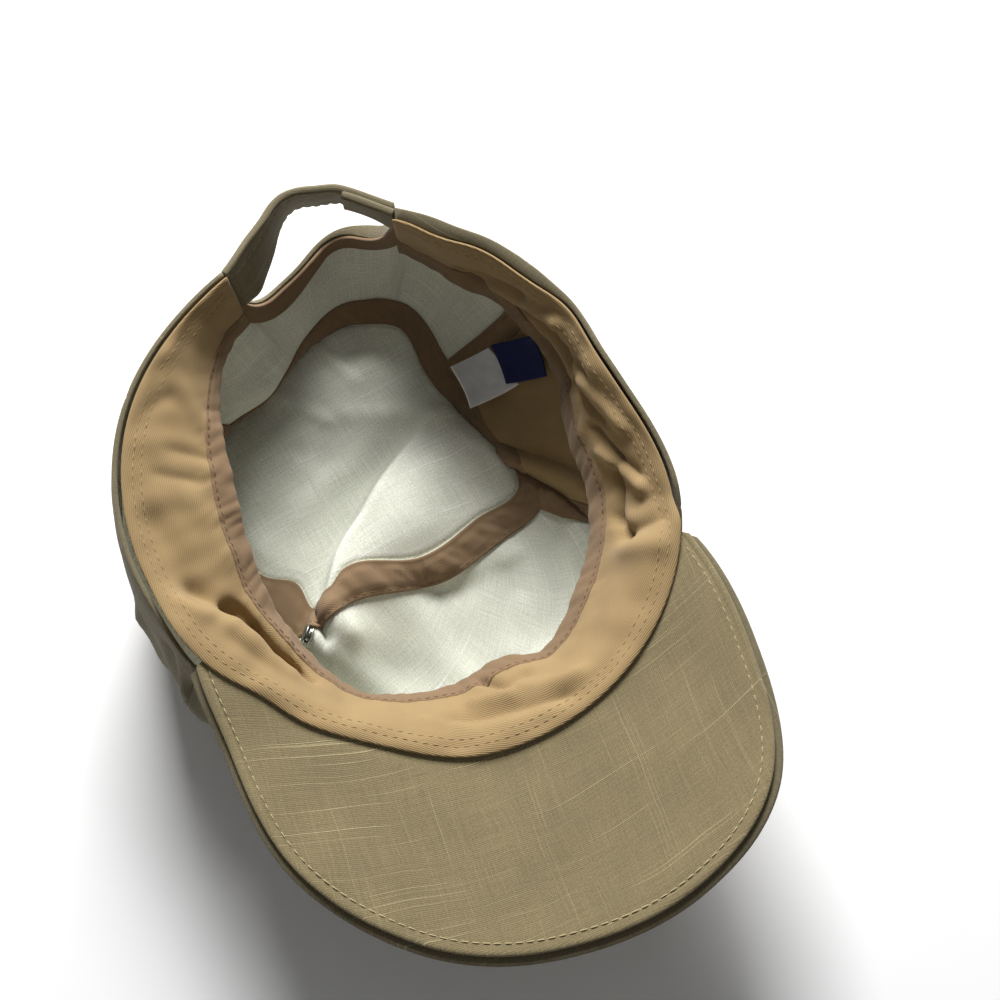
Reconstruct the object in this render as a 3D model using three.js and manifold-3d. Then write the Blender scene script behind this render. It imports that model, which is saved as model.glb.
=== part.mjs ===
// A soft cotton cadet cap, turned over and lying on its flat crown top.
//
// Millimetres, +Z up. The peak points to -Y and the strap opening is at +Y.
// Angles run round the cap from the peak (0) by the right side (90) to the back (180).
// Every cloth piece is a thin closed shell laid on one of four surfaces: the crown wall, the
// crown top, the sweatband and the peak. All four are worked out from the sizes and tables below.
import * as THREE from "three";
import Module from "manifold-3d";
import { mergeVertices } from "three/addons/utils/BufferGeometryUtils.js";

const wasm = await Module();
wasm.setup();

const DEGREE = Math.PI / 180;
const GAP = 0.4;

// Thicknesses and widths of the cloth pieces.
const CROWN_CLOTH = 1.4;
const TAPE_CLOTH = 0.8;
const TAPE_WIDTH = 9;
const TAPE_START = 1.6;
const SEAM_RISE = 0.35;
const SEAM_TAPE_DROP = 8;
const BAND_CLOTH = 1.3;
const BINDING_CLOTH = 2.2;
const BINDING_SHARE = 0.24;
const STRAP_CLOTH = 1.8;
const STRAP_WIDTH = 22;
const STRAP_GAP = 0.8;
const PEAK_UPPER_CLOTH = 2.1;
const PEAK_UNDER_CLOTH = 1.7;
const LABEL_CLOTH = 0.8;

// The rim is drawn round one centre. The crown top slumped towards the back has another.
const RIM_CENTRE = new THREE.Vector2(0, 15);
const TOP_CENTRE = new THREE.Vector2(-7, 52);
const TOP_REST = CROWN_CLOTH / 2;
const FLOOR_BLEND = 0.5;

// Sections of the crown wall. Each is a curve from the rim to the seam of the crown top, which
// leaves the rim outwards by upperReach and down by upperDrop, and comes into the seam from
// lowerReach outside it at lowerHeight.
const WALL_SECTIONS = [
  { at: 0, rimRadius: 98, rimHeight: 50, upperReach: 3, upperDrop: 46, lowerReach: 44, lowerHeight: -9, topX: 3, topY: -4 },
  { at: 30, rimRadius: 101, rimHeight: 54, upperReach: 2, upperDrop: 46, lowerReach: 38, lowerHeight: -8, topX: 27, topY: 3 },
  { at: 60, rimRadius: 95.5, rimHeight: 60, upperReach: 6, upperDrop: 38, lowerReach: 14, lowerHeight: 4, topX: 46, topY: 14 },
  { at: 90, rimRadius: 80.5, rimHeight: 66, upperReach: 11, upperDrop: 36, lowerReach: 12, lowerHeight: 4, topX: 37, topY: 42 },
  { at: 120, rimRadius: 78.3, rimHeight: 68, upperReach: 15, upperDrop: 36, lowerReach: 16, lowerHeight: 1, topX: 29, topY: 66 },
  { at: 150, rimRadius: 84, rimHeight: 70.5, upperReach: 17, upperDrop: 34, lowerReach: 15, lowerHeight: 1, topX: 26, topY: 88 },
  { at: 168, rimRadius: 85.5, rimHeight: 72, upperReach: 16, upperDrop: 34, lowerReach: 8, lowerHeight: 3, topX: 13, topY: 95 },
  { at: 180, rimRadius: 85, rimHeight: 72, upperReach: 3, upperDrop: 36, lowerReach: 3, lowerHeight: 7, topX: 2, topY: 97 },
  { at: 210, rimRadius: 84, rimHeight: 69, upperReach: -1, upperDrop: 32, lowerReach: -11, lowerHeight: 17, topX: -26, topY: 89 },
  { at: 240, rimRadius: 85.5, rimHeight: 66.5, upperReach: 6, upperDrop: 34, lowerReach: -7, lowerHeight: 14, topX: -50, topY: 74 },
  { at: 270, rimRadius: 85.2, rimHeight: 63, upperReach: 14, upperDrop: 36, lowerReach: 16, lowerHeight: 1, topX: -61, topY: 47 },
  { at: 300, rimRadius: 84.8, rimHeight: 58, upperReach: 22, upperDrop: 36, lowerReach: 30, lowerHeight: -4, topX: -52, topY: 14 },
  { at: 325, rimRadius: 86.5, rimHeight: 53, upperReach: 16, upperDrop: 44, lowerReach: 32, lowerHeight: -6, topX: -37, topY: -9 },
  { at: 340, rimRadius: 89.5, rimHeight: 51, upperReach: 8, upperDrop: 46, lowerReach: 40, lowerHeight: -9, topX: -22, topY: -4 },
];

// The free edge of the sweatband, which leans in from the rim.
const BAND_SECTIONS = [
  { at: 0, edgeRadius: 68, edgeHeight: 27 },
  { at: 12, edgeRadius: 67, edgeHeight: 29 },
  { at: 24, edgeRadius: 74, edgeHeight: 31 },
  { at: 42, edgeRadius: 70.5, edgeHeight: 34 },
  { at: 62, edgeRadius: 68, edgeHeight: 35 },
  { at: 88, edgeRadius: 62.5, edgeHeight: 36 },
  { at: 110, edgeRadius: 64.5, edgeHeight: 34 },
  { at: 130, edgeRadius: 73, edgeHeight: 33 },
  { at: 160, edgeRadius: 84, edgeHeight: 33 },
  { at: 200, edgeRadius: 77, edgeHeight: 44 },
  { at: 212, edgeRadius: 71.5, edgeHeight: 48 },
  { at: 230, edgeRadius: 60, edgeHeight: 50 },
  { at: 250, edgeRadius: 51, edgeHeight: 50 },
  { at: 274, edgeRadius: 50, edgeHeight: 46 },
  { at: 294, edgeRadius: 54, edgeHeight: 41 },
  { at: 314, edgeRadius: 60.5, edgeHeight: 36 },
  { at: 332, edgeRadius: 68, edgeHeight: 30 },
  { at: 346, edgeRadius: 68.5, edgeHeight: 28 },
];

// The seams between the wall panels run from an angle at the rim to one at the crown top.
const SEAMS = {
  frontRight: { rim: 62, top: 56 },
  backRight: { rim: 126, top: 113 },
  backLeft: { rim: 236, top: 244 },
  frontLeft: { rim: 298, top: 312 },
};

// The opening at the back, and the strap that spans it.
const ARCH = { centre: 180, halfAngle: 20.5, depth: 37, corner: 10, bindingWidth: 8, bindingReach: 17.5 };
const STRAP = { leftEnd: 199.9, rightEnd: 160.1, freeShare: 0.86, bulge: 17.5, leanLeft: -1, leanRight: -5 };
const OVERLAP = { longEnd: 161, underEnd: 170, step: 3.4, rampAngle: 6 };
const BAND_ENDS = { right: 159.6, left: 200.4 };

// The peak: its outer edge, from the left corner to the right one, on the angles of the rim.
const PEAK_SECTIONS = [
  { at: -61, reach: 2, rise: 0 },
  { at: -47, reach: 16, rise: 0 },
  { at: -30, reach: 43, rise: 1 },
  { at: -15, reach: 57, rise: 2 },
  { at: 0, reach: 61, rise: 3 },
  { at: 16, reach: 62, rise: 4 },
  { at: 30, reach: 54, rise: 5 },
  { at: 44, reach: 26, rise: 3 },
  { at: 57, reach: 2, rise: 0 },
];
const PEAK_TUCK = 2.5;
const PEAK_LIP = { height: 3.7, fade: 7, cut: 4.4, cutFade: 10 };

// A crest of cloth pushed up under the front of the crown top. It runs from its tail at the
// right to its nose at the front left, steep behind and shallow in front.
const CREST = {
  tail: new THREE.Vector2(29, 38),
  nose: new THREE.Vector2(-40, -18),
  tailHeight: 10,
  height: 19,
  riseShare: 0.45,
  backWidth: 11,
  frontWidth: 27,
  tailFade: 9,
  noseFade: 13,
};

const EYELETS = [{ name: "eyelet_left", at: -34, fromTop: 15.5 }];
const EYELET = { flange: 3.8, hole: 1.6, barrel: 2.2, thickness: 0.6, seat: 0.2 };

// Plain sewn-in labels over the side lining. Each corner is an angle and a share of the wall.
const LABELS = [
  { name: "label_white", sewn: [[116.5, 0.59], [101, 0.58]], free: [[114.5, 0.82], [94, 0.85]], lift: 3.3, curl: 1 },
  { name: "label_blue", sewn: [[114, 0.34], [101, 0.42]], free: [[116.5, 0.55], [101.5, 0.62]], lift: 5.2, curl: 0.8 },
];

// Smooth values between the rows of a table, closed round the full turn or open.
function between(rows, column, closed) {
  const count = rows.length;
  const row = (i) => {
    const turns = Math.floor(i / count);
    const r = rows[i - turns * count];
    return { at: r.at + turns * 360, value: r[column] };
  };
  const pick = (i) => (closed ? row(i) : row(Math.min(Math.max(i, 0), count - 1)));
  const slope = (i) => {
    const a = pick(i - 1);
    const b = pick(i + 1);
    return (b.value - a.value) / (b.at - a.at);
  };
  return (angle) => {
    const first = rows[0].at;
    const x = closed ? first + THREE.MathUtils.euclideanModulo(angle - first, 360) : angle;
    let i = 0;
    while (i < count - (closed ? 1 : 2) && row(i + 1).at <= x) i += 1;
    const a = row(i);
    const b = row(i + 1);
    const span = b.at - a.at;
    const t = (x - a.at) / span;
    const t2 = t * t;
    const t3 = t2 * t;
    return (
      (2 * t3 - 3 * t2 + 1) * a.value +
      (t3 - 2 * t2 + t) * span * slope(i) +
      (3 * t2 - 2 * t3) * b.value +
      (t3 - t2) * span * slope(i + 1)
    );
  };
}

function columnsOf(rows, closed) {
  const names = Object.keys(rows[0]).filter((name) => name !== "at");
  return Object.fromEntries(names.map((name) => [name, between(rows, name, closed)]));
}

const wall = columnsOf(WALL_SECTIONS, true);
const band = columnsOf(BAND_SECTIONS, true);
const peak = columnsOf(PEAK_SECTIONS, false);

const outward = (angle) => new THREE.Vector2(Math.sin(angle * DEGREE), -Math.cos(angle * DEGREE));
const smooth = (x) => THREE.MathUtils.smoothstep(x, 0, 1);

function bezier(p0, p1, p2, p3, t) {
  const s = 1 - t;
  return new THREE.Vector3()
    .addScaledVector(p0, s * s * s)
    .addScaledVector(p1, 3 * s * s * t)
    .addScaledVector(p2, 3 * s * t * t)
    .addScaledVector(p3, t * t * t);
}

// Lifts a point of the crown by its place along and across the crest.
function overCrest(point) {
  const run = CREST.nose.clone().sub(CREST.tail);
  const length = run.length();
  const forward = run.normalize();
  const offset = new THREE.Vector2(point.x, point.y).sub(CREST.tail);
  const along = offset.dot(forward);
  const across = offset.x * forward.y - offset.y * forward.x;
  const width = across > 0 ? CREST.backWidth : CREST.frontWidth;
  const past = along < 0 ? -along / CREST.tailFade : Math.max(along - length, 0) / CREST.noseFade;
  const share = Math.exp(-((across / width) ** 2) - past ** 2);
  const rise = smooth(along / length / CREST.riseShare);
  const height = THREE.MathUtils.lerp(CREST.tailHeight, CREST.height, rise);
  return point.clone().add(new THREE.Vector3(0, 0, height * share));
}

// Cloth that would sink below the surface lies flat on it.
function onSurface(point) {
  const depth = point.z - TOP_REST;
  if (depth < -FLOOR_BLEND) return point.setZ(TOP_REST);
  if (depth > FLOOR_BLEND) return point;
  return point.setZ(TOP_REST + (depth + FLOOR_BLEND) ** 2 / (4 * FLOOR_BLEND));
}

function rimPoint(angle) {
  const out = outward(angle);
  const radius = wall.rimRadius(angle);
  return new THREE.Vector3(
    RIM_CENTRE.x + out.x * radius,
    RIM_CENTRE.y + out.y * radius,
    wall.rimHeight(angle),
  );
}

function topSeamPoint(angle) {
  return new THREE.Vector3(wall.topX(angle), wall.topY(angle), TOP_REST);
}

function wallPoint(angle, s) {
  const out = outward(angle);
  const rim = rimPoint(angle);
  const seam = topSeamPoint(angle);
  const reach = wall.upperReach(angle);
  const upper = new THREE.Vector3(
    rim.x + out.x * reach,
    rim.y + out.y * reach,
    rim.z - wall.upperDrop(angle),
  );
  const inReach = wall.lowerReach(angle);
  const lower = new THREE.Vector3(
    seam.x + out.x * inReach,
    seam.y + out.y * inReach,
    wall.lowerHeight(angle),
  );
  return overCrest(onSurface(bezier(rim, upper, lower, seam, s)));
}

function topPoint(angle, r) {
  const seam = topSeamPoint(angle);
  return overCrest(
    new THREE.Vector3(
      THREE.MathUtils.lerp(TOP_CENTRE.x, seam.x, r),
      THREE.MathUtils.lerp(TOP_CENTRE.y, seam.y, r),
      TOP_REST,
    ),
  );
}

// The share of the wall, from the rim down, that lies within a length of cloth.
function shareAlongWall(angle, length, fromTop) {
  const steps = 48;
  let done = 0;
  let last = wallPoint(angle, fromTop ? 1 : 0);
  for (let i = 1; i <= steps; i += 1) {
    const s = fromTop ? 1 - i / steps : i / steps;
    const next = wallPoint(angle, s);
    const piece = next.distanceTo(last);
    if (done + piece >= length) {
      const part = (i - 1 + (length - done) / piece) / steps;
      return fromTop ? 1 - part : part;
    }
    done += piece;
    last = next;
  }
  return fromTop ? 0 : 1;
}

// How far from the seam of the crown top a layer of the wall has to stop, so that it clears the
// top where the two meet at a sharp fold and where they lie flat.
function clearOfTop(angle, layer) {
  const seam = wallPoint(angle, 1);
  const up = wallPoint(angle, 0.97).sub(seam).normalize();
  const inward = topPoint(angle, 0.97).sub(seam).normalize();
  const cosine = up.dot(inward);
  const sine = Math.sqrt(1 - cosine * cosine);
  const above = CROWN_CLOTH / 2 + GAP;
  return cosine > 0 ? (above + layer * cosine) / sine : above - layer * cosine ** 8;
}

// 1 over the peak, fading to 0 within an angle on each side of it.
function underPeak(angle, fade) {
  const a = THREE.MathUtils.euclideanModulo(angle + 180, 360) - 180;
  const left = PEAK_SECTIONS[0].at;
  const right = PEAK_SECTIONS[PEAK_SECTIONS.length - 1].at;
  return smooth(1 + (a - left) / fade) * smooth(1 + (right - a) / fade);
}

function archDepth(angle) {
  const x = (THREE.MathUtils.euclideanModulo(angle, 360) - ARCH.centre) / ARCH.halfAngle;
  return Math.abs(x) < 1 ? ARCH.depth * Math.sqrt(1 - Math.abs(x) ** ARCH.corner) : 0;
}

function wallStart(angle) {
  const cut = Math.max(archDepth(angle), PEAK_LIP.cut * underPeak(angle, PEAK_LIP.cutFade));
  return cut > 0 ? shareAlongWall(angle, cut, false) : 0;
}

function bandPoint(angle, t) {
  const out = outward(angle);
  const rim = rimPoint(angle);
  const lip = underPeak(angle, PEAK_LIP.fade);
  const inset = THREE.MathUtils.lerp(-(CROWN_CLOTH + BAND_CLOTH) / 2 - GAP, 0, lip);
  const raise = PEAK_LIP.height * lip;
  const reach = wall.rimRadius(angle) - band.edgeRadius(angle);
  const drop = rim.z - band.edgeHeight(angle);
  const place = (radial, height) =>
    new THREE.Vector3(rim.x + out.x * radial, rim.y + out.y * radial, rim.z + height);
  return bezier(
    place(inset, raise),
    place(inset - 0.28 * reach - 3 * lip, raise - 0.12 * drop * (1 - lip)),
    place(-0.75 * reach, -0.62 * drop),
    place(-reach, -drop),
    t,
  );
}

function peakPoint(angle, t) {
  const out = outward(angle);
  const rim = rimPoint(angle);
  const radial = THREE.MathUtils.lerp(-PEAK_TUCK, peak.reach(angle), t);
  return new THREE.Vector3(
    rim.x + out.x * radial,
    rim.y + out.y * radial,
    rim.z + peak.rise(angle) * t * t,
  );
}

// A vector square to a surface at (u, v), from its slopes there.
function normalAt(surface, u, v, du, dv) {
  const alongU = surface(u + du, v).sub(surface(u - du, v));
  const alongV = surface(u, v + dv).sub(surface(u, v - dv));
  return alongU.cross(alongV).normalize();
}

// A closed shell between two offsets from a surface. The grid lists the surface's own
// parameters for each column and row. A pole is a first row that is one point.
function shell(surface, grid, low, high, { closed = false, pole = false } = {}) {
  const du = 0.05;
  const dv = 0.002;
  const columns = grid.length;
  const rows = grid[0].length;
  const positions = [];
  const index = [[], []];
  [low, high].forEach((offset, side) => {
    grid.forEach((column, i) => {
      index[side].push(
        column.map(([u, v], j) => {
          if (pole && j === 0 && i > 0) return index[side][0][0];
          const inset = pole && j === 0 ? dv : 0;
          const p = surface(u, v).addScaledVector(normalAt(surface, u, v + inset, du, dv), offset);
          positions.push(p.x, p.y, p.z);
          return positions.length / 3 - 1;
        }),
      );
    });
  });
  const triangles = [];
  const quad = (a, b, c, d) => {
    [[a, b, c], [a, c, d]].forEach((t) => {
      if (new Set(t).size === 3) triangles.push(...t);
    });
  };
  const spans = closed ? columns : columns - 1;
  const [lower, upper] = index;
  for (let i = 0; i < spans; i += 1) {
    const k = (i + 1) % columns;
    for (let j = 0; j < rows - 1; j += 1) {
      quad(upper[i][j], upper[k][j], upper[k][j + 1], upper[i][j + 1]);
      quad(lower[i][j], lower[i][j + 1], lower[k][j + 1], lower[k][j]);
    }
    if (!pole) quad(lower[i][0], lower[k][0], upper[k][0], upper[i][0]);
    quad(lower[i][rows - 1], upper[i][rows - 1], upper[k][rows - 1], lower[k][rows - 1]);
  }
  if (!closed) {
    for (let j = 0; j < rows - 1; j += 1) {
      const e = columns - 1;
      quad(lower[0][j], upper[0][j], upper[0][j + 1], lower[0][j + 1]);
      quad(lower[e][j], lower[e][j + 1], upper[e][j + 1], upper[e][j]);
    }
  }
  return new THREE.BufferGeometry()
    .setAttribute("position", new THREE.Float32BufferAttribute(positions, 3))
    .setIndex(triangles);
}

const steps = (from, to, count) =>
  Array.from({ length: count + 1 }, (_, i) => from + ((to - from) * i) / count);

// The panels of the crown wall, each from one seam to the next, with the spread of its columns.
// Those of the back panel close up at the sides of the arch.
const WALL_ROWS = 8;
const TOP_ROWS = 7;
const SEAM_CLEAR = 0.3;
const ARCH_COLUMNS = [-0.97, -0.88, -0.7, -0.4, 0, 0.4, 0.7, 0.88, 0.97];
const BACK_COLUMNS = [
  ...steps(SEAMS.backRight.rim, ARCH.centre - ARCH.halfAngle, 7),
  ...ARCH_COLUMNS.map((x) => ARCH.centre + x * ARCH.halfAngle),
  ...steps(ARCH.centre + ARCH.halfAngle, SEAMS.backLeft.rim, 7),
];
const shareOfBack = (angle) => (angle - SEAMS.backRight.rim) / (SEAMS.backLeft.rim - SEAMS.backRight.rim);
const RIGHT_PANEL = {
  name: "crown_side_right",
  from: SEAMS.frontRight,
  to: SEAMS.backRight,
  spread: steps(0, 1, 13),
};
const PANELS = [
  { name: "crown_front", from: SEAMS.frontLeft, to: SEAMS.frontRight, spread: steps(0, 1, 24) },
  RIGHT_PANEL,
  { name: "crown_back", from: SEAMS.backRight, to: SEAMS.backLeft, spread: BACK_COLUMNS.map(shareOfBack) },
  { name: "crown_side_left", from: SEAMS.backLeft, to: SEAMS.frontLeft, spread: steps(0, 1, 13) },
];

const MATERIALS = {
  canvas: { color: 0x6f6a4c, roughness: 0.9, metalness: 0 },
  twill: { color: 0xa98c5b, roughness: 0.9, metalness: 0 },
  tape: { color: 0x8a6a50, roughness: 0.9, metalness: 0 },
  blue_satin: { color: 0x141a45, roughness: 0.6, metalness: 0 },
  white_satin: { color: 0xd8dbd8, roughness: 0.6, metalness: 0 },
  nickel: { color: 0xb8b8b4, roughness: 0.35, metalness: 1 },
};

const cap = new THREE.Group();

function add(name, geometry, material) {
  const finish = new THREE.MeshStandardMaterial(MATERIALS[material]);
  const mesh = new THREE.Mesh(geometry, finish);
  mesh.name = name;
  cap.add(mesh);
  return mesh;
}

function solidOf(geometry) {
  const bare = geometry.clone();
  bare.deleteAttribute("normal");
  bare.deleteAttribute("uv");
  const merged = mergeVertices(bare, 1e-4);
  return new wasm.Manifold(
    new wasm.Mesh({
      numProp: 3,
      vertProperties: new Float32Array(merged.attributes.position.array),
      triVerts: new Uint32Array(merged.index.array),
    }),
  );
}

function geometryOf(solid) {
  const mesh = solid.getMesh();
  return new THREE.BufferGeometry()
    .setAttribute("position", new THREE.BufferAttribute(mesh.vertProperties, 3))
    .setIndex(new THREE.BufferAttribute(mesh.triVerts, 1));
}

// Where an eyelet goes through the wall: its centre and the way the cloth faces.
function eyeletPlace({ at, fromTop }) {
  const share = shareAlongWall(at, fromTop, true);
  const frame = new THREE.Group();
  frame.position.copy(wallPoint(at, share));
  const normal = normalAt(wallPoint, at, share, 0.5, 0.01);
  frame.quaternion.setFromUnitVectors(new THREE.Vector3(0, 1, 0), normal);
  frame.updateMatrixWorld(true);
  return frame.matrixWorld;
}

// The hole for an eyelet's barrel, and the room for its flanges where the cloth is pressed flat.
function eyeletCuts() {
  const room = 3;
  const seat = CROWN_CLOTH / 2 + EYELET.seat;
  const hole = new THREE.CylinderGeometry(EYELET.barrel + GAP, EYELET.barrel + GAP, 2 * room, 12);
  const inner = new THREE.CylinderGeometry(EYELET.flange + GAP, EYELET.flange + GAP, room, 16);
  const outer = inner.clone();
  inner.translate(0, seat + room / 2, 0);
  outer.translate(0, -seat - room / 2, 0);
  return [hole, inner, outer];
}

// The columns of the wall's grid: each leans from its angle at the rim to one at the top. The
// layers inside the wall keep to the same columns.
function panelColumns({ from, to, spread }, clear = 0) {
  const turn = to.rim < from.rim ? 360 : 0;
  return spread.map((u) => ({
    rim: THREE.MathUtils.lerp(from.rim, to.rim + turn, u) + clear * (1 - 2 * u),
    top: THREE.MathUtils.lerp(from.top, to.top + turn, u) + clear * (1 - 2 * u),
  }));
}

function columnPoints(column, shares) {
  return shares.map((s) => [THREE.MathUtils.lerp(column.rim, column.top, s), s]);
}

// Cloth of one wall panel, between two seams, with the holes of its eyelets cut out. The last
// rows lie where the tape does.
function wallPanel(panel) {
  const { name, from, to } = panel;
  const grid = panelColumns(panel, SEAM_CLEAR).map((column) => {
    const start = wallStart(column.rim);
    const tape = shareAlongWall(column.top, TAPE_START + TAPE_WIDTH, true);
    const end = shareAlongWall(column.top, clearOfTop(column.top, CROWN_CLOTH / 2), true);
    const upper = steps(start, tape, WALL_ROWS);
    return columnPoints(column, [...upper, ...steps(tape, end, 2).slice(1)]);
  });
  let geometry = shell(wallPoint, grid, -CROWN_CLOTH / 2, CROWN_CLOTH / 2);
  EYELETS.forEach((eyelet) => {
    const turned = THREE.MathUtils.euclideanModulo(eyelet.at - from.rim, 360);
    if (turned > THREE.MathUtils.euclideanModulo(to.rim - from.rim, 360)) return;
    const place = eyeletPlace(eyelet);
    eyeletCuts().forEach((cut) => {
      geometry = geometryOf(solidOf(geometry).subtract(solidOf(cut.applyMatrix4(place))));
    });
  });
  return add(name, geometry, "canvas");
}

function crownTop() {
  const columns = PANELS.flatMap((panel) => panelColumns(panel).slice(1));
  const grid = columns.map((column) => steps(0, 1, TOP_ROWS).map((r) => [column.top, r]));
  return add(
    "crown_top",
    shell(topPoint, grid, -CROWN_CLOTH / 2, CROWN_CLOTH / 2, { closed: true, pole: true }),
    "canvas",
  );
}

// The offsets of a tape laid on the inside of the wall.
const TAPE_INNER = CROWN_CLOTH / 2 + GAP;
const TAPE_OUTER = TAPE_INNER + TAPE_CLOTH;

function topTape() {
  const columns = PANELS.flatMap((panel) => panelColumns(panel).slice(1));
  const grid = columns.map((column) => {
    const from = shareAlongWall(column.top, TAPE_START + TAPE_WIDTH, true);
    const clear = Math.max(TAPE_START, clearOfTop(column.top, TAPE_OUTER));
    return columnPoints(column, steps(from, shareAlongWall(column.top, clear, true), 2));
  });
  return add("tape_top", shell(wallPoint, grid, TAPE_INNER, TAPE_OUTER, { closed: true }), "tape");
}

function seamTape(name, seam) {
  const rows = steps(0, 1, 9).map((v) => {
    const from = shareAlongWall(seam.rim, SEAM_TAPE_DROP, false);
    const to = shareAlongWall(seam.top, TAPE_START + TAPE_WIDTH + 1.5, true);
    const s = THREE.MathUtils.lerp(from, to, v);
    const angle = THREE.MathUtils.lerp(seam.rim, seam.top, s);
    const perDegree = wallPoint(angle + 1, s).distanceTo(wallPoint(angle, s));
    return { s, angle, half: TAPE_WIDTH / 2 / perDegree };
  });
  const grid = [-1, 0, 1].map((side) => rows.map((r) => [r.angle + side * r.half, r.s]));
  return add(name, shell(wallPoint, grid, TAPE_INNER + SEAM_RISE, TAPE_OUTER + SEAM_RISE), "tape");
}

// The twill patch that lines the right side panel between its two seam tapes.
function sideLining() {
  const columns = panelColumns(RIGHT_PANEL).slice(1, -1);
  columns[0].top += 2.5;
  const grid = columns.map((column) => {
    const from = shareAlongWall(column.rim, SEAM_TAPE_DROP, false);
    const to = shareAlongWall(column.top, TAPE_START + TAPE_WIDTH + 0.8, true);
    return columnPoints(column, steps(from, to, 7));
  });
  return add("side_lining", shell(wallPoint, grid, TAPE_INNER, TAPE_OUTER), "twill");
}

function sweatband() {
  const angles = steps(BAND_ENDS.left - 360, BAND_ENDS.right, 60);
  const edge = 1 - BINDING_SHARE;
  const grid = angles.map((angle) => [0, 0.1, 0.28, 0.52, edge].map((t) => [angle, t]));
  return add("sweatband", shell(bandPoint, grid, -BAND_CLOTH / 2, BAND_CLOTH / 2), "twill");
}

function bandBinding() {
  const angles = steps(BAND_ENDS.left - 360, BAND_ENDS.right, 60);
  const grid = angles.map((angle) => steps(1 - BINDING_SHARE + 0.02, 1, 1).map((t) => [angle, t]));
  return add(
    "sweatband_binding",
    shell(bandPoint, grid, -BINDING_CLOTH / 2, BINDING_CLOTH / 2),
    "tape",
  );
}

function archBinding() {
  const reach = ARCH.bindingReach;
  const grid = steps(ARCH.centre - reach, ARCH.centre + reach, 22).map((angle) => {
    const from = shareAlongWall(angle, archDepth(angle) + 0.2, false);
    const to = shareAlongWall(angle, archDepth(angle) + ARCH.bindingWidth, false);
    return steps(from, to, 2).map((s) => [angle, s]);
  });
  return add("arch_binding", shell(wallPoint, grid, TAPE_INNER + SEAM_RISE, TAPE_OUTER + SEAM_RISE), "tape");
}

// The strap follows the inside of the crown at its ends and bows out between them.
function strapPoint(angle, v) {
  const out = outward(angle);
  const share = shareAlongWall(angle, v * STRAP_WIDTH, false);
  const inside = (CROWN_CLOTH + STRAP_CLOTH) / 2 + STRAP_GAP;
  const onWall = wallPoint(angle, share).addScaledVector(
    normalAt(wallPoint, angle, share, 0.5, 0.01),
    inside,
  );
  const x = (angle - ARCH.centre) / (ARCH.halfAngle * STRAP.freeShare);
  const free = smooth((1 - Math.abs(x)) * 3);
  const bow = STRAP.bulge * Math.max(0, 1 - x * x) ** 1.6;
  const lean = THREE.MathUtils.lerp(STRAP.leanLeft, STRAP.leanRight, smooth((1 - x) / 2));
  const radius = wall.rimRadius(angle) - inside + bow - lean * v;
  const bowed = new THREE.Vector3(
    RIM_CENTRE.x + out.x * radius,
    RIM_CENTRE.y + out.y * radius,
    wall.rimHeight(angle) - v * STRAP_WIDTH,
  );
  return onWall.lerp(bowed, free);
}

function overlapStep(angle) {
  return OVERLAP.step * smooth((OVERLAP.underEnd + OVERLAP.rampAngle - angle) / OVERLAP.rampAngle);
}

function straps() {
  const rows = 3;
  const longGrid = steps(STRAP.leftEnd, OVERLAP.longEnd, 20).map((a) => steps(0, 1, rows).map((v) => [a, v]));
  const outer = (angle, v) => {
    const out = outward(angle);
    const step = overlapStep(angle);
    return strapPoint(angle, v).add(new THREE.Vector3(out.x * step, out.y * step, 0));
  };
  const half = STRAP_CLOTH / 2;
  add("strap", shell(outer, longGrid.reverse(), -half, half), "canvas");
  const shortGrid = steps(STRAP.rightEnd, OVERLAP.underEnd, 9).map((a) =>
    steps(0, 1, rows).map((v) => [a, v]),
  );
  add("strap_under", shell(strapPoint, shortGrid, -half, half), "canvas");
}

function peakCovers() {
  const ends = [PEAK_SECTIONS[0].at + 0.6, PEAK_SECTIONS[PEAK_SECTIONS.length - 1].at - 0.6];
  const grid = steps(ends[0], ends[1], 34).map((a) => steps(0, 1, 5).map((t) => [a, t]));
  const seamGap = GAP / 2;
  add("peak_under", shell(peakPoint, grid, -seamGap - PEAK_UNDER_CLOTH, -seamGap), "canvas");
  add("peak_upper", shell(peakPoint, grid, seamGap, seamGap + PEAK_UPPER_CLOTH), "canvas");
}

function eyelets() {
  const { flange, hole, barrel, thickness, seat } = EYELET;
  const face = CROWN_CLOTH / 2 + GAP + seat;
  const profile = [
    [hole, -face - thickness],
    [flange, -face - thickness],
    [flange, -face],
    [barrel, -face],
    [barrel, face],
    [flange, face],
    [flange, face + thickness],
    [hole, face + thickness],
    [hole, -face - thickness],
  ].map(([r, y]) => new THREE.Vector2(r, y));
  EYELETS.forEach((eyelet) => {
    const ring = new THREE.LatheGeometry(profile, 12);
    ring.deleteAttribute("uv");
    ring.deleteAttribute("normal");
    ring.applyMatrix4(eyeletPlace(eyelet));
    add(eyelet.name, mergeVertices(ring, 1e-4), "nickel");
  });
}

function labels() {
  LABELS.forEach(({ name, sewn, free, lift, curl }) => {
    const corners = [...sewn, ...free].map((corner) => new THREE.Vector2(...corner));
    const surface = (u, v) => {
      const sewnEdge = corners[0].clone().lerp(corners[1], u);
      const freeEdge = corners[2].clone().lerp(corners[3], u);
      const at = sewnEdge.lerp(freeEdge, v);
      const normal = normalAt(wallPoint, at.x, at.y, 0.5, 0.01);
      return wallPoint(at.x, at.y).addScaledVector(normal, lift + curl * v * v);
    };
    const grid = steps(0, 1, 2).map((u) => steps(0, 1, 4).map((v) => [u, v]));
    const material = name === "label_blue" ? "blue_satin" : "white_satin";
    const geometry = shell(surface, grid, -LABEL_CLOTH / 2, LABEL_CLOTH / 2);
    add(name, geometry, material);
  });
}

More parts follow.
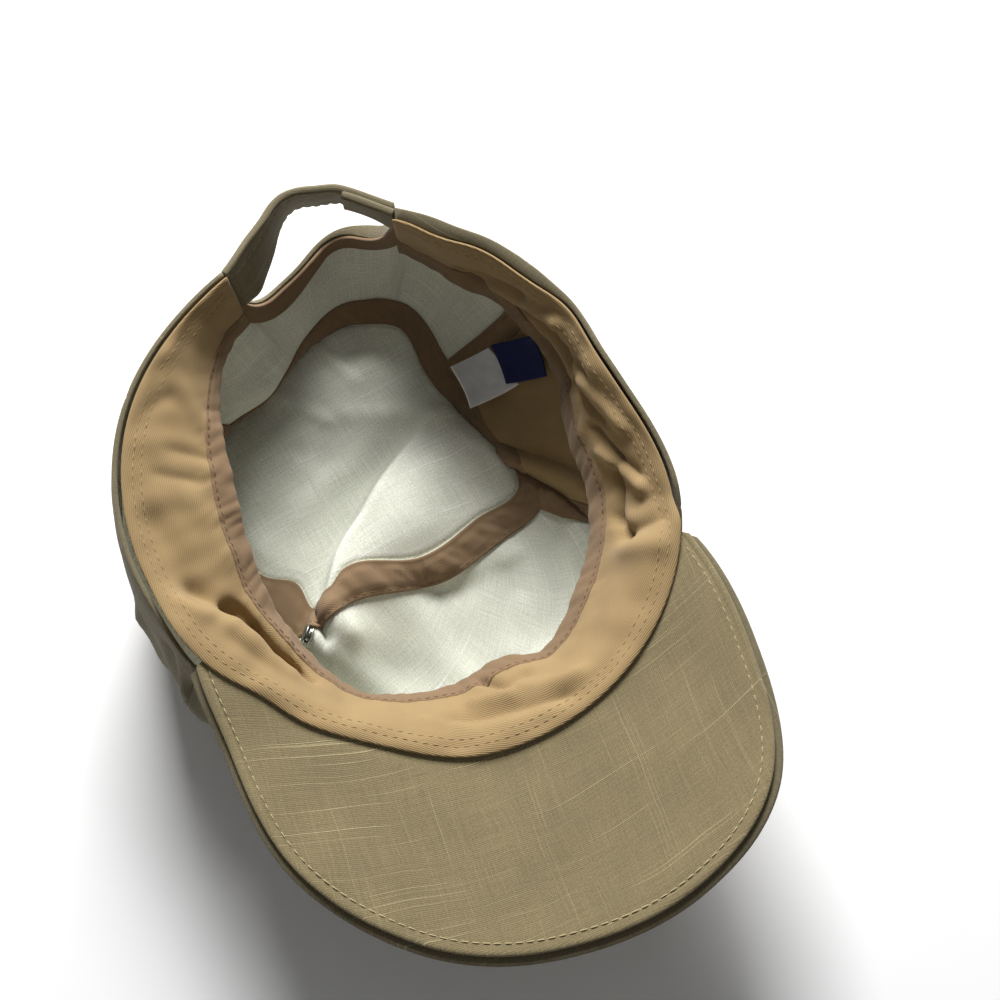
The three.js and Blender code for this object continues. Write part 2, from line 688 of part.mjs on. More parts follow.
PANELS.forEach(wallPanel);
crownTop();
topTape();
seamTape("tape_front_right", SEAMS.frontRight);
seamTape("tape_back_right", SEAMS.backRight);
seamTape("tape_back_left", SEAMS.backLeft);
seamTape("tape_front_left", SEAMS.frontLeft);
sideLining();
sweatband();
bandBinding();
archBinding();
straps();
peakCovers();
eyelets();
labels();

// The origin is under the middle of the cap, on the surface that it lies on.
const bounds = new THREE.Box3().setFromObject(cap);
const middle = bounds.getCenter(new THREE.Vector3());
cap.position.set(-middle.x, -middle.y, -bounds.min.z);

export default cap;
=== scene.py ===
"""A soft cotton cadet cap, turned over and lying on its flat crown top."""

import math
from functools import partial

import bpy
import numpy as np
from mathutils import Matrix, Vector


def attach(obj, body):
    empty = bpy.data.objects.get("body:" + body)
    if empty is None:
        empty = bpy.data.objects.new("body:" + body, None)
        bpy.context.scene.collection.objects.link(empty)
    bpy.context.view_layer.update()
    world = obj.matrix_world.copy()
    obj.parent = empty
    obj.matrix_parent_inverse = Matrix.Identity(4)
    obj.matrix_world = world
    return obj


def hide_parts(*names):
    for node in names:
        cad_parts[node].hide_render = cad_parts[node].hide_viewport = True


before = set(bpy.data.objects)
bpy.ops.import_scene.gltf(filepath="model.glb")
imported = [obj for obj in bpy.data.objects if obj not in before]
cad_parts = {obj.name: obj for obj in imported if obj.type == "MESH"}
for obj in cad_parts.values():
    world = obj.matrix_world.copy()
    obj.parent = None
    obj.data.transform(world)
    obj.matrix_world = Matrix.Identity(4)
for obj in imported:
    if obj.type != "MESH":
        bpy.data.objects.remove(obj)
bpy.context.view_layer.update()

# Lengths are millimetres until the cloth is cut. Angles run round the cap from the peak (0) by
# the right side (90) to the back (180).
TO_METRES = 0.001
CAP_SHIFT = np.array([1.44, 13.22, 0.0])

# The thickness of each cloth, the gap between two of them, and the places of tapes and bindings.
GAP = 0.4
CROWN_CLOTH = 1.4
TAPE_CLOTH = 0.8
TAPE_WIDTH = 9.0
TAPE_START = 1.6
SEAM_RISE = 0.35
SEAM_TAPE_DROP = 8.0
BAND_CLOTH = 1.3
BINDING_CLOTH = 2.2
BINDING_SHARE = 0.24
STRAP_CLOTH = 1.8
STRAP_WIDTH = 22.0
PEAK_UPPER_CLOTH = 2.1
PEAK_UNDER_CLOTH = 1.7
LABEL_CLOTH = 0.8
TAPE_INNER = CROWN_CLOTH / 2 + GAP
TAPE_OUTER = TAPE_INNER + TAPE_CLOTH

# The middle of the rim and of the crown top, and how the cloth meets the surface below it.
RIM_CENTRE = np.array([0.0, 15.0])
TOP_CENTRE = np.array([-7.0, 52.0])
TOP_REST = CROWN_CLOTH / 2
FLOOR_BLEND = 0.5

# The crown wall, a curve from the rim to the seam of the crown top at each angle.
WALL_COLUMNS = (
    "at", "rim_radius", "rim_height", "upper_reach", "upper_drop",
    "lower_reach", "lower_height", "top_x", "top_y",
)
WALL_SECTIONS = [
    (0, 98, 50, 3, 46, 44, -9, 3, -4),
    (30, 101, 54, 2, 46, 38, -8, 27, 3),
    (60, 95.5, 60, 6, 38, 14, 4, 46, 14),
    (90, 80.5, 66, 11, 36, 12, 4, 37, 42),
    (120, 78.3, 68, 15, 36, 16, 1, 29, 66),
    (150, 84, 70.5, 17, 34, 15, 1, 26, 88),
    (168, 85.5, 72, 16, 34, 8, 3, 13, 95),
    (180, 85, 72, 3, 36, 3, 7, 2, 97),
    (210, 84, 69, -1, 32, -11, 17, -26, 89),
    (240, 85.5, 66.5, 6, 34, -7, 14, -50, 74),
    (270, 85.2, 63, 14, 36, 16, 1, -61, 47),
    (300, 84.8, 58, 22, 36, 30, -4, -52, 14),
    (325, 86.5, 53, 16, 44, 32, -6, -37, -9),
    (340, 89.5, 51, 8, 46, 40, -9, -22, -4),
]

# The free edge of the sweatband, which leans in from the rim.
BAND_COLUMNS = ("at", "edge_radius", "edge_height")
BAND_SECTIONS = [
    (0, 68, 27), (12, 67, 29), (24, 74, 31), (42, 70.5, 34), (62, 68, 35), (88, 62.5, 36),
    (110, 64.5, 34), (130, 73, 33), (160, 84, 33), (200, 77, 44), (212, 71.5, 48), (230, 60, 50),
    (250, 51, 50), (274, 50, 46), (294, 54, 41), (314, 60.5, 36), (332, 68, 30), (346, 68.5, 28),
]

# The outer edge of the peak, from its left corner to its right one.
PEAK_COLUMNS = ("at", "reach", "rise")
PEAK_SECTIONS = [
    (-61, 2, 0), (-47, 16, 0), (-30, 43, 1), (-15, 57, 2), (0, 61, 3),
    (16, 62, 4), (30, 54, 5), (44, 26, 3), (57, 2, 0),
]
PEAK_TUCK = 2.5
PEAK_LIP = {"height": 3.7, "fade": (22, 7), "cut": 4.4, "cut_fade": (22, 10), "press": 1.0}

# Each seam of the wall runs from an angle at the rim to one at the crown top.
SEAMS = {
    "front_right": (62, 56),
    "back_right": (126, 113),
    "back_left": (236, 244),
    "front_left": (298, 312),
}
ARCH = {"centre": 180, "half_angle": 20.5, "depth": 37, "corner": 5, "binding": 8}
STRAP = {"left": 200.25, "right": 159.3}
OVERLAP = {"long_end": 159.3, "under_end": 170, "step": 2.3, "ramp": 6}

# How far the upper and lower edges of the strap stand out from the rim.
STRAP_COLUMNS = ("at", "upper_out", "lower_out")
STRAP_SECTIONS = [
    (156, 0.6, 5.0), (160, 1.6, 7.5), (164, 3.9, 11.5), (168, 7.0, 15.0), (172, 10.2, 18.0),
    (175.5, 12.8, 20.4), (178.7, 14.2, 21.4), (181.4, 14.0, 19.6), (184, 12.3, 15.2),
    (187, 9.2, 8.3), (190, 6.6, 2.9), (193.5, 4.2, -2.0), (197, 1.9, -2.6), (200.3, 0.1, -2.4),
    (204, -0.9, -2.4),
]
BAND_ENDS = (200.4 - 360, 159.6)

CREST = {
    "tail": (29, 38), "nose": (-40, -18), "tail_height": 10, "height": 19, "rise_share": 0.45,
    "back_width": 4.5, "front_width": 27, "tail_fade": 9, "nose_fade": 13,
    "flat": 8.6, "flat_from": 25, "flat_run": 66,
}


def smooth(x):
    x = np.clip(x, 0, 1)
    return x * x * (3 - 2 * x)


def mix(a, b, t):
    return a + (b - a) * t


def curve_through(at, values, closed):
    """A smooth curve through the rows of a table, round the full turn or open."""
    first = at[0]
    if closed:
        at = np.concatenate([at[-2:] - 360, at, at[:3] + 360])
        values = np.concatenate([values[-2:], values, values[:3]])
    slope = np.empty_like(values)
    slope[1:-1] = (values[2:] - values[:-2]) / (at[2:] - at[:-2])
    slope[0] = (values[1] - values[0]) / (at[1] - at[0])
    slope[-1] = (values[-1] - values[-2]) / (at[-1] - at[-2])

    def value(angle):
        x = first + np.mod(np.asarray(angle, float) - first, 360) if closed else np.asarray(angle, float)
        i = np.clip(np.searchsorted(at, x, side="right") - 1, 0, len(at) - 2)
        span = at[i + 1] - at[i]
        t = (x - at[i]) / span
        t2, t3 = t * t, t * t * t
        return (
            (2 * t3 - 3 * t2 + 1) * values[i]
            + (t3 - 2 * t2 + t) * span * slope[i]
            + (3 * t2 - 2 * t3) * values[i + 1]
            + (t3 - t2) * span * slope[i + 1]
        )

    return value


def columns_of(names, rows, closed):
    table = np.array(rows, float)
    return {n: curve_through(table[:, 0], table[:, i], closed) for i, n in enumerate(names) if i}


wall = columns_of(WALL_COLUMNS, WALL_SECTIONS, True)
band = columns_of(BAND_COLUMNS, BAND_SECTIONS, True)
peak = columns_of(PEAK_COLUMNS, PEAK_SECTIONS, False)
bow = columns_of(STRAP_COLUMNS, STRAP_SECTIONS, False)


def unit(vectors):
    return vectors / np.linalg.norm(vectors, axis=-1, keepdims=True)


def outward(angle):
    a = np.radians(angle)
    return np.stack([np.sin(a), -np.cos(a)], axis=-1)


def point(x, y, z):
    return np.stack(np.broadcast_arrays(x, y, z), axis=-1)


def radial_point(angle, radius, height):
    out = outward(angle)
    return point(RIM_CENTRE[0] + out[..., 0] * radius, RIM_CENTRE[1] + out[..., 1] * radius, height)


def bezier(p0, p1, p2, p3, t):
    t = np.asarray(t)[..., None]
    s = 1 - t
    return p0 * s**3 + 3 * p1 * s * s * t + 3 * p2 * s * t * t + p3 * t**3


def over_crest(p):
    """Lifts points of the crown by their place along and across the crest."""
    tail, nose = np.array(CREST["tail"], float), np.array(CREST["nose"], float)
    run = nose - tail
    length = np.linalg.norm(run)
    forward = run / length
    x, y = p[..., 0] - tail[0], p[..., 1] - tail[1]
    along = x * forward[0] + y * forward[1]
    across = x * forward[1] - y * forward[0]
    width = np.where(across > 0, CREST["back_width"], CREST["front_width"])
    past = np.where(
        along < 0, -along / CREST["tail_fade"], np.maximum(along - length, 0) / CREST["nose_fade"]
    )
    flat = CREST["flat"] * (1 - smooth((along - CREST["flat_from"]) / CREST["flat_run"]))
    across = np.where(across > 0, np.maximum(across - flat, 0), across)
    share = np.exp(-((across / width) ** 2) - past**2)
    height = mix(CREST["tail_height"], CREST["height"], smooth(along / length / CREST["rise_share"]))
    lifted = p.copy()
    lifted[..., 2] += height * share
    return lifted


def on_surface(p):
    """Cloth that would sink below the surface lies flat on it."""
    depth = p[..., 2] - TOP_REST
    blend = TOP_REST + (depth + FLOOR_BLEND) ** 2 / (4 * FLOOR_BLEND)
    rested = p.copy()
    rested[..., 2] = np.where(
        depth < -FLOOR_BLEND, TOP_REST, np.where(depth > FLOOR_BLEND, p[..., 2], blend)
    )
    return rested


def wall_point(angle, share):
    angle, share = np.broadcast_arrays(np.asarray(angle, float), np.asarray(share, float))
    out = outward(angle)
    rim = radial_point(angle, wall["rim_radius"](angle), wall["rim_height"](angle))
    seam = point(wall["top_x"](angle), wall["top_y"](angle), TOP_REST)
    upper, lower = rim.copy(), seam.copy()
    upper[..., :2] += out * wall["upper_reach"](angle)[..., None]
    upper[..., 2] -= wall["upper_drop"](angle)
    lower[..., :2] += out * wall["lower_reach"](angle)[..., None]
    lower[..., 2] = wall["lower_height"](angle)
    return over_crest(on_surface(bezier(rim, upper, lower, seam, share)))


def top_point(angle, share):
    angle, share = np.broadcast_arrays(np.asarray(angle, float), np.asarray(share, float))
    x = mix(TOP_CENTRE[0], wall["top_x"](angle), share)
    y = mix(TOP_CENTRE[1], wall["top_y"](angle), share)
    return over_crest(point(x, y, TOP_REST))


def share_along(surface, angle, length, from_top=False):
    """The share of a surface, from the rim on, that lies within a length of cloth."""
    angle = np.atleast_1d(np.asarray(angle, float))
    shares = np.linspace(0, 1, 97)
    line = surface(angle[:, None], shares[None, :])
    if from_top:
        line = line[:, ::-1]
    done = np.cumsum(np.linalg.norm(np.diff(line, axis=1), axis=2), axis=1)
    done = np.concatenate([np.zeros((len(angle), 1)), done], axis=1)
    lengths = np.broadcast_to(length, angle.shape)
    found = np.array([np.interp(x, d, shares) for x, d in zip(lengths, done)])
    return 1 - found if from_top else found


def share_along_wall(angle, length, from_top=False):
    return share_along(wall_point, angle, length, from_top)


def under_peak(angle, fades):
    """One along the peak, fading to nought beyond its left and right corners."""
    a = np.mod(np.asarray(angle, float) + 180, 360) - 180
    left, right = PEAK_SECTIONS[0][0], PEAK_SECTIONS[-1][0]
    return smooth(1 + (a - left) / fades[0]) * smooth(1 + (right - a) / fades[1])


def arch_depth(angle):
    x = np.abs((np.mod(angle, 360) - ARCH["centre"]) / ARCH["half_angle"])
    return ARCH["depth"] * np.sqrt(np.maximum(1 - np.minimum(x, 1) ** ARCH["corner"], 0))


def wall_start(angle):
    cut = np.maximum(arch_depth(angle), PEAK_LIP["cut"] * under_peak(angle, PEAK_LIP["cut_fade"]))
    return share_along_wall(angle, cut)


def band_point(angle, t):
    angle, t = np.broadcast_arrays(np.asarray(angle, float), np.asarray(t, float))
    rim_radius, rim_height = wall["rim_radius"](angle), wall["rim_height"](angle)
    lip = under_peak(angle, PEAK_LIP["fade"])
    inset = mix(-(CROWN_CLOTH + BAND_CLOTH) / 2 - GAP, 0, lip)
    raised = PEAK_LIP["height"] * lip
    reach = rim_radius - band["edge_radius"](angle)
    drop = rim_height - band["edge_height"](angle)
    return bezier(
        radial_point(angle, rim_radius + inset, rim_height + raised),
        radial_point(
            angle,
            rim_radius + inset - 0.28 * reach - 3 * lip,
            rim_height + raised - 0.12 * drop * (1 - lip),
        ),
        radial_point(angle, rim_radius - 0.75 * reach, rim_height - 0.62 * drop),
        radial_point(angle, rim_radius - reach, rim_height - drop),
        t,
    )


def peak_point(angle, t):
    angle, t = np.broadcast_arrays(np.asarray(angle, float), np.asarray(t, float))
    radial = mix(-PEAK_TUCK, peak["reach"](angle), t)
    height = wall["rim_height"](angle) + peak["rise"](angle) * t * t
    return radial_point(angle, wall["rim_radius"](angle) + radial, height)


def normal_at(surface, u, v, du=0.05, dv=0.002):
    along = surface(u + du, v) - surface(u - du, v)
    down = surface(u, v + dv) - surface(u, v - dv)
    return unit(np.cross(along, down))


def strap_point(angle, v):
    """The strap bows out from the rim between the two sides of the back opening."""
    angle, v = np.broadcast_arrays(np.asarray(angle, float), np.asarray(v, float))
    out = mix(bow["upper_out"](angle), bow["lower_out"](angle), v)
    return radial_point(
        angle, wall["rim_radius"](angle) + out, wall["rim_height"](angle) - v * STRAP_WIDTH
    )


def long_strap_point(angle, v):
    step = OVERLAP["step"] * smooth((OVERLAP["under_end"] + OVERLAP["ramp"] - angle) / OVERLAP["ramp"])
    stepped = strap_point(angle, v)
    stepped[..., :2] += outward(np.broadcast_to(angle, stepped.shape[:-1])) * step[..., None]
    return stepped


# Folds of the sweatband, each from one angle and share of its depth to another:
# from_angle, from_share, to_angle, to_share, width, height.
BAND_FOLDS = [
    # The pleat at the front left: a groove with the cloth in front of it pushed up beside it.
    (-92, 0.26, -76, 0.36, 6.0, -2.2),
    (-76, 0.36, -66, 0.56, 3.4, -2.6),
    (-68, 0.66, -44, 0.64, 4.0, -0.8),
    (-68, 0.56, -59, 0.605, 1.5, -4.0),
    (-59, 0.605, -50, 0.575, 1.5, -4.0),
    (-50, 0.575, -39, 0.60, 1.5, -3.0),
    (-73, 0.22, -68, 0.31, 3.0, 1.6),
    (-61, 0.44, -44, 0.50, 3.2, 1.8),
    (-60, 0.76, -46, 0.80, 2.6, 1.0),
    (-98, 0.60, -84, 0.74, 4.5, 1.2),
    (-114, 0.46, -114, 0.72, 3.0, -0.8),
    (-107, 0.34, -106, 0.58, 2.5, -0.6),
    (-123, 0.20, -127, 0.34, 3.0, -0.7),
    (-136, 0.15, -128, 0.62, 4.0, 0.9),
    # Puckers at the right, where the band is drawn in.
    (144, 0.70, 125, 0.40, 2.2, -3.0),
    (141, 0.78, 124, 0.68, 2.0, -3.5),
    (124, 0.68, 104, 0.56, 2.0, -4.0),
    (134, 0.62, 112, 0.30, 3.0, 2.6),
    (118, 0.86, 101, 0.74, 2.2, -2.0),
    (124, 0.44, 112, 0.56, 3.2, -1.2),
    (107, 0.48, 97, 0.36, 2.4, -2.0),
    (112, 0.30, 96, 0.20, 4.0, 1.2),
    (99, 0.60, 84, 0.47, 2.2, -2.6),
    (96, 0.44, 80, 0.26, 2.8, 1.9),
    (84, 0.60, 74, 0.47, 1.9, -3.0),
    (74, 0.47, 69, 0.34, 2.0, -1.8),
    (77, 0.62, 66, 0.33, 2.4, 2.2),
    (71, 0.55, 60, 0.64, 2.0, -3.0),
    (60, 0.64, 55.5, 0.55, 2.2, -3.0),
    (55.5, 0.52, 58.7, 0.2, 3.0, -2.2),
    (52, 0.50, 53, 0.2, 3.4, 1.4),
    # The soft folds over the middle of the peak.
    (5.8, 0.78, 9.4, 0.56, 2.0, -2.4),
    (1.5, 0.57, 8.7, 0.46, 2.2, 2.0),
    (-4, 0.44, 17, 0.24, 2.6, -2.2),
    (10, 0.52, 22, 0.34, 2.8, 1.8),
    (11, 0.60, 14.5, 0.62, 1.6, -1.4),
    (16, 0.70, 30, 0.66, 4.0, 0.8),
    (-16, 0.46, -4, 0.36, 3.0, 0.8),
    (20, 0.16, 40, 0.24, 4.0, -0.8),
]
BAND_PER_DEGREE = 1.4
BAND_DEPTH = 40.0
# Slanting waves along the binding's seam, and the pitch and seed that make them uneven.
SEAM_WAVES = {"at": 0.78, "spread": 0.12, "height": 0.17, "pitch": 7.3, "uneven": (30, 4)}

# Folds of the crown wall, in the same columns.
WALL_FOLDS = [
    (-52, 0.30, -40, 0.62, 4.0, -3.0),
    (-47, 0.22, -30, 0.44, 4.0, 1.8),
    (-78, 0.22, -62, 0.52, 3.5, -3.0),
    (-68, 0.12, -54, 0.44, 3.0, 2.4),
    (-61, 0.16, -49, 0.50, 2.0, -2.6),
    (-96, 0.35, -84, 0.60, 6.0, -1.2),
    (-28, 0.62, -24, 0.92, 4.0, 1.2),
    (18, 0.60, 30, 0.96, 4.5, 1.1),
    (30, 0.62, 42, 0.90, 5.0, -1.0),
    (2, 0.66, -10, 0.94, 6.0, 0.9),
    (66, 0.50, 78, 0.86, 5.0, -1.2),
    (146, 0.40, 160, 0.70, 7.0, -1.6),
    (-154, 0.42, -134, 0.62, 7.0, 1.4),
    (100, 0.24, 96, 0.60, 7.0, -1.0),
    # The lining stands over a groove at the front right seam, and small folds lie by the eyelet.
    (73, 0.84, 66, 0.57, 4.4, 4.2),
    (66, 0.93, 57, 0.62, 3.8, -4.2),
    (-33.5, 0.985, -27, 0.85, 1.4, -3.6),
    (-28, 0.97, -21, 0.84, 2.8, 2.4),
    (0, 0.92, 46, 0.74, 5.0, -2.3),
    (4, 0.96, 40, 0.82, 3.5, 1.2),
]
WALL_PER_DEGREE = 1.35
WALL_DEPTH = 105.0

# Folds of the crown top: from_x, from_y, to_x, to_y, width, height.
TOP_FOLDS = [
    (10, 80, -26, 62, 5.0, 0.8),
    (-30, 74, -44, 46, 6.0, 0.7),
    (16, 62, -6, 44, 6.0, 1.0),
    (-14, 40, -44, 24, 5.0, 1.2),
    (-36, 60, -20, 40, 4.0, 0.5),
    (-48, 40, -52, 20, 5.0, 0.9),
    (22, 46, 37, 50, 3.0, 2.2),
    (-4, 62, 32, 48, 4.5, 1.6),
    (39, 46, 43, 20, 3.5, 1.0),
    (-4, 89, 3, 74, 2.4, 1.0),
    (-27, 80, -12, 62, 2.8, 1.2),
]

# Where the soft cloth bulges or sags, most at the middle of each patch:
# angle, share, angle_spread, share_spread, outward, up.
WALL_PUSHES = [
    (175, 0.42, 9, 0.17, 11.0, 1.0),
    (191, 0.38, 8, 0.16, 4.5, 1.5),
    (222, 0.76, 22, 0.15, -9.0, 0.5),
    (84, 0.80, 14, 0.16, -5.0, 1.5),
    (148, 0.0, 8, 0.30, -3.0, 0.0),
    (112, 0.0, 9, 0.30, 2.4, 0.0),
    (298, 0.42, 10, 0.24, 3.5, 0.0),
    (286, 0.30, 9, 0.20, -2.5, 0.0),
]
BAND_PUSHES = [
    (112, 1.0, 16, 0.55, 8.0, 0.0),
    (134, 1.0, 10, 0.50, 5.0, 0.0),
    (162, 1.0, 14, 0.60, 9.0, 0.0),
    (148, 0.0, 8, 0.60, -3.0, 0.0),
    (112, 0.0, 9, 0.50, 2.4, 0.0),
    (-57, 0.46, 9, 0.08, -0.8, 1.2),
    (-65, 0.59, 5, 0.08, 0.0, -3.0),
    (-57, 0.62, 6, 0.07, 0.0, -5.5),
    (-47, 0.61, 7, 0.07, 0.0, -5.0),
    (-46, 0.0, 8, 0.30, -2.0, 0.0),
]
# Patches of the crown that slide over the floor: x, y, spread, shift_x, shift_y.
CROWN_SHIFTS = [
    (-18, 0, 14, -1.0, 4.5),
    (22, 14, 17, -0.5, 4.5),
    (-45, 3, 8, 6.0, 4.0),
]
# The side of the crest's nose leans over the cloth beside it.
NOSE_TUCK = {"place": (-40, -10), "spread": 11, "height": 8, "height_spread": 6, "shift": (7, 2.5)}


def pushed(p, angle, share, rows):
    """Moves a surface in or out and up, most at the middle of each patch."""
    moved = p.copy()
    for at, middle, at_spread, share_spread, out, up in rows:
        turn = signed(angle - at)
        amount = np.exp(-((turn / at_spread) ** 2) - ((share - middle) / share_spread) ** 2)
        moved[..., :2] += outward(angle) * (out * amount)[..., None]
        moved[..., 2] += up * amount
    return moved


def settled(p):
    """Shifts patches of the crown, and leans the nose of its crest over the cloth beside it."""
    moved = p.copy()
    for x, y, spread, shift_x, shift_y in CROWN_SHIFTS:
        away = ((p[..., 0] - x) ** 2 + (p[..., 1] - y) ** 2) / spread**2
        moved[..., :2] += np.exp(-away)[..., None] * np.array([shift_x, shift_y])
    off = (p[..., :2] - np.array(NOSE_TUCK["place"])) / NOSE_TUCK["spread"]
    rise = (p[..., 2] - NOSE_TUCK["height"]) / NOSE_TUCK["height_spread"]
    amount = np.exp(-(off**2).sum(axis=-1) - rise**2)
    moved[..., :2] += amount[..., None] * np.array(NOSE_TUCK["shift"])
    return moved


def shaped_wall(angle, share):
    angle, share = np.broadcast_arrays(np.asarray(angle, float), np.asarray(share, float))
    return settled(pushed(wall_point(angle, share), angle, share, WALL_PUSHES))


def shaped_band(angle, t):
    angle, t = np.broadcast_arrays(np.asarray(angle, float), np.asarray(t, float))
    p = pushed(band_point(angle, t), angle, t, BAND_PUSHES)
    p[..., 2] -= PEAK_LIP["press"] * under_peak(angle, (7, 7)) * np.exp(-((t / 0.2) ** 2))
    return p


def folded(x, y, rows, per_x=1.0, per_y=1.0):
    """How far cloth stands up over the folds of a table, at places on it."""
    lift = np.zeros(np.broadcast(x, y).shape)
    for x0, y0, x1, y1, width, height in rows:
        dx, dy = (x1 - x0) * per_x, (y1 - y0) * per_y
        length = math.hypot(dx, dy)
        u, v = (x - x0) * per_x, (y - y0) * per_y
        along = (u * dx + v * dy) / length
        across = (u * dy - v * dx) / length
        past = np.maximum(np.maximum(-along, along - length), 0) / (1.3 * width)
        lift += height * np.exp(-((across / width) ** 2) - past**2)
    return lift


def ruffle(x, y, pitch, seed, waves=9):
    """Low uneven waves, the same each time for a seed, from about -1 to 1."""
    drawn = np.random.RandomState(seed)
    total = np.zeros(np.broadcast(x, y).shape)
    for _ in range(waves):
        turn, phase = drawn.uniform(0, 2 * math.pi, 2)
        step = 2 * math.pi / (pitch * drawn.uniform(0.6, 1.7))
        total += np.sin((x * math.cos(turn) + y * math.sin(turn)) * step + phase)
    return total / math.sqrt(waves)


# Low waves of each cloth: their height, pitch and seed.
RUFFLES = {
    "wall": (0.35, 24, 3),
    "top": (0.27, 26, 5),
    "band": (0.3, 17, 8),
    "band_seam": (0.16, 4.6, 12),
    "peak": (0.25, 34, 21),
    "strap": (0.12, 16, 31),
    "tape": (0.45, 5.5, 27),
    "hem": (0.22, 17, 14),
}


def ruffled(cloth, x, y):
    height, pitch, seed = RUFFLES[cloth]
    return height * ruffle(x, y, pitch, seed)


def signed(angle):
    return np.mod(np.asarray(angle, float) + 180, 360) - 180


def soft_wall(angle, share):
    """The wall with its folds. They stand off the surface that the cap lies on."""
    p = shaped_wall(angle, share)
    lift = folded(signed(angle), share, WALL_FOLDS, WALL_PER_DEGREE, WALL_DEPTH)
    lift += ruffled("wall", p[..., 0] + 0.6 * p[..., 2], p[..., 1] - 0.4 * p[..., 2])
    above_floor = smooth((p[..., 2] - TOP_REST) / 6)
    off_edges = smooth(share / 0.1) * smooth((1 - share) / 0.06)
    lift = mix(np.maximum(lift, 0), lift, above_floor) * off_edges
    return p + normal_at(shaped_wall, angle, share) * lift[..., None]


def soft_top(angle, share):
    p = settled(top_point(angle, share))
    lift = folded(p[..., 0], p[..., 1], TOP_FOLDS)
    lift += RUFFLES["top"][0] + ruffled("top", p[..., 0], p[..., 1])
    p[..., 2] += np.maximum(lift, 0) * smooth((1 - share) / 0.12)
    return p


def soft_band(angle, t):
    """The sweatband with its folds, drawn up a little along the seam of its binding."""
    p = shaped_band(angle, t)
    a = signed(angle)
    along, across = a * BAND_PER_DEGREE, t * BAND_DEPTH
    lift = folded(a, t, BAND_FOLDS, BAND_PER_DEGREE, BAND_DEPTH)
    lift += ruffled("band", along, across)
    at_seam = np.exp(-(((t - SEAM_WAVES["at"]) / SEAM_WAVES["spread"]) ** 2))
    lift += at_seam * ruffled("band_seam", along + 0.7 * across, across * 0.3)
    uneven = 2 * ruffle(along, 0 * along, *SEAM_WAVES["uneven"])
    waves = np.sin((along + 0.8 * across) * 2 * math.pi / SEAM_WAVES["pitch"] + uneven)
    lift += SEAM_WAVES["height"] * smooth((t - 0.74) / 0.14) * waves
    return p + normal_at(shaped_band, angle, t) * (lift * smooth(t / 0.12))[..., None]


def soft_peak(angle, t):
    p = peak_point(angle, t)
    p[..., 2] += ruffled("peak", p[..., 0], p[..., 1]) * smooth(t / 0.15)
    return p


def soft_strap(angle, v):
    p = long_strap_point(angle, v)
    out = outward(np.broadcast_to(angle, p.shape[:-1]))
    p[..., :2] += out * ruffled("strap", p[..., 0], p[..., 2])[..., None]
    return p


def plump(distance, radius):
    """The thickness left at a distance from a folded edge, as a share of the whole."""
    d = np.clip(distance / radius, 0, 1)
    return 0.25 + 0.75 * np.sqrt(1 - (1 - d) ** 2)


# The rows of points beside an edge, and how far from it the even rows begin.
EDGE_ROWS = (0.0, 0.12, 0.35, 0.8)
EDGE_REACH = 1.2


def hemmed(start, end, length, pitch):
    """Shares from one edge to the other, close together at the two edges."""
    count = max(int(round(length / pitch)), 4)
    inner = np.linspace(0, 1, count + 1)
    edge = np.array(EDGE_ROWS) / length
    inner = inner[(inner > EDGE_REACH / length) & (inner < 1 - EDGE_REACH / length)]
    return mix(start, end, np.concatenate([edge, inner, 1 - edge[::-1]]))


def lengths_on(p):
    """The lengths of cloth along and across a grid of points."""
    middle = p[:, p.shape[1] // 2]
    along = np.concatenate([[0], np.cumsum(np.linalg.norm(np.diff(middle, axis=0), axis=1))])
    across = np.cumsum(np.linalg.norm(np.diff(p, axis=1), axis=2), axis=1)
    across = np.concatenate([np.zeros((len(p), 1)), across], axis=1)
    return np.broadcast_to(along[:, None], across.shape), across


def facing(p, closed=False):
    if closed:
        along = np.roll(p, -1, axis=0) - np.roll(p, 1, axis=0)
    else:
        along = np.gradient(p, axis=0)
    n = np.cross(along, np.gradient(p, axis=1))
    size = np.linalg.norm(n, axis=-1, keepdims=True)
    return n / np.maximum(size, 1e-9)


def open_hole(p, centre, radius):
    """Opens a round hole in a grid of points: its cells that go, and the edge drawn into a circle."""
    middles = (p[:-1, :-1] + p[1:, :-1] + p[:-1, 1:] + p[1:, 1:]) / 4
    gone = np.linalg.norm(middles - centre, axis=-1) < radius
    beside_gone = np.zeros(p.shape[:2], bool)
    beside_kept = beside_gone.copy()
    for mask, cells in ((beside_gone, gone), (beside_kept, ~gone)):
        for i in (slice(None, -1), slice(1, None)):
            for j in (slice(None, -1), slice(1, None)):
                mask[i, j] |= cells
    rim = beside_gone & beside_kept
    off = p[rim] - centre
    p[rim] = centre + unit(off) * radius
    return gone


def hole_edges(gone, lower, upper):
    """The faces that close the cloth round a hole."""
    faces = []
    for i, j in zip(*np.nonzero(gone)):
        for di, dj, a, b in (
            (-1, 0, (i, j), (i, j + 1)), (1, 0, (i + 1, j + 1), (i + 1, j)),
            (0, -1, (i + 1, j), (i, j)), (0, 1, (i, j + 1), (i + 1, j + 1)),
        ):
            if not gone[i + di, j + dj]:
                faces.append((upper[a], upper[b], lower[b], lower[a]))
    return np.array(faces)


def quads(a, b, c, d):
    return np.stack([a.ravel(), b.ravel(), c.ravel(), d.ravel()], axis=1)


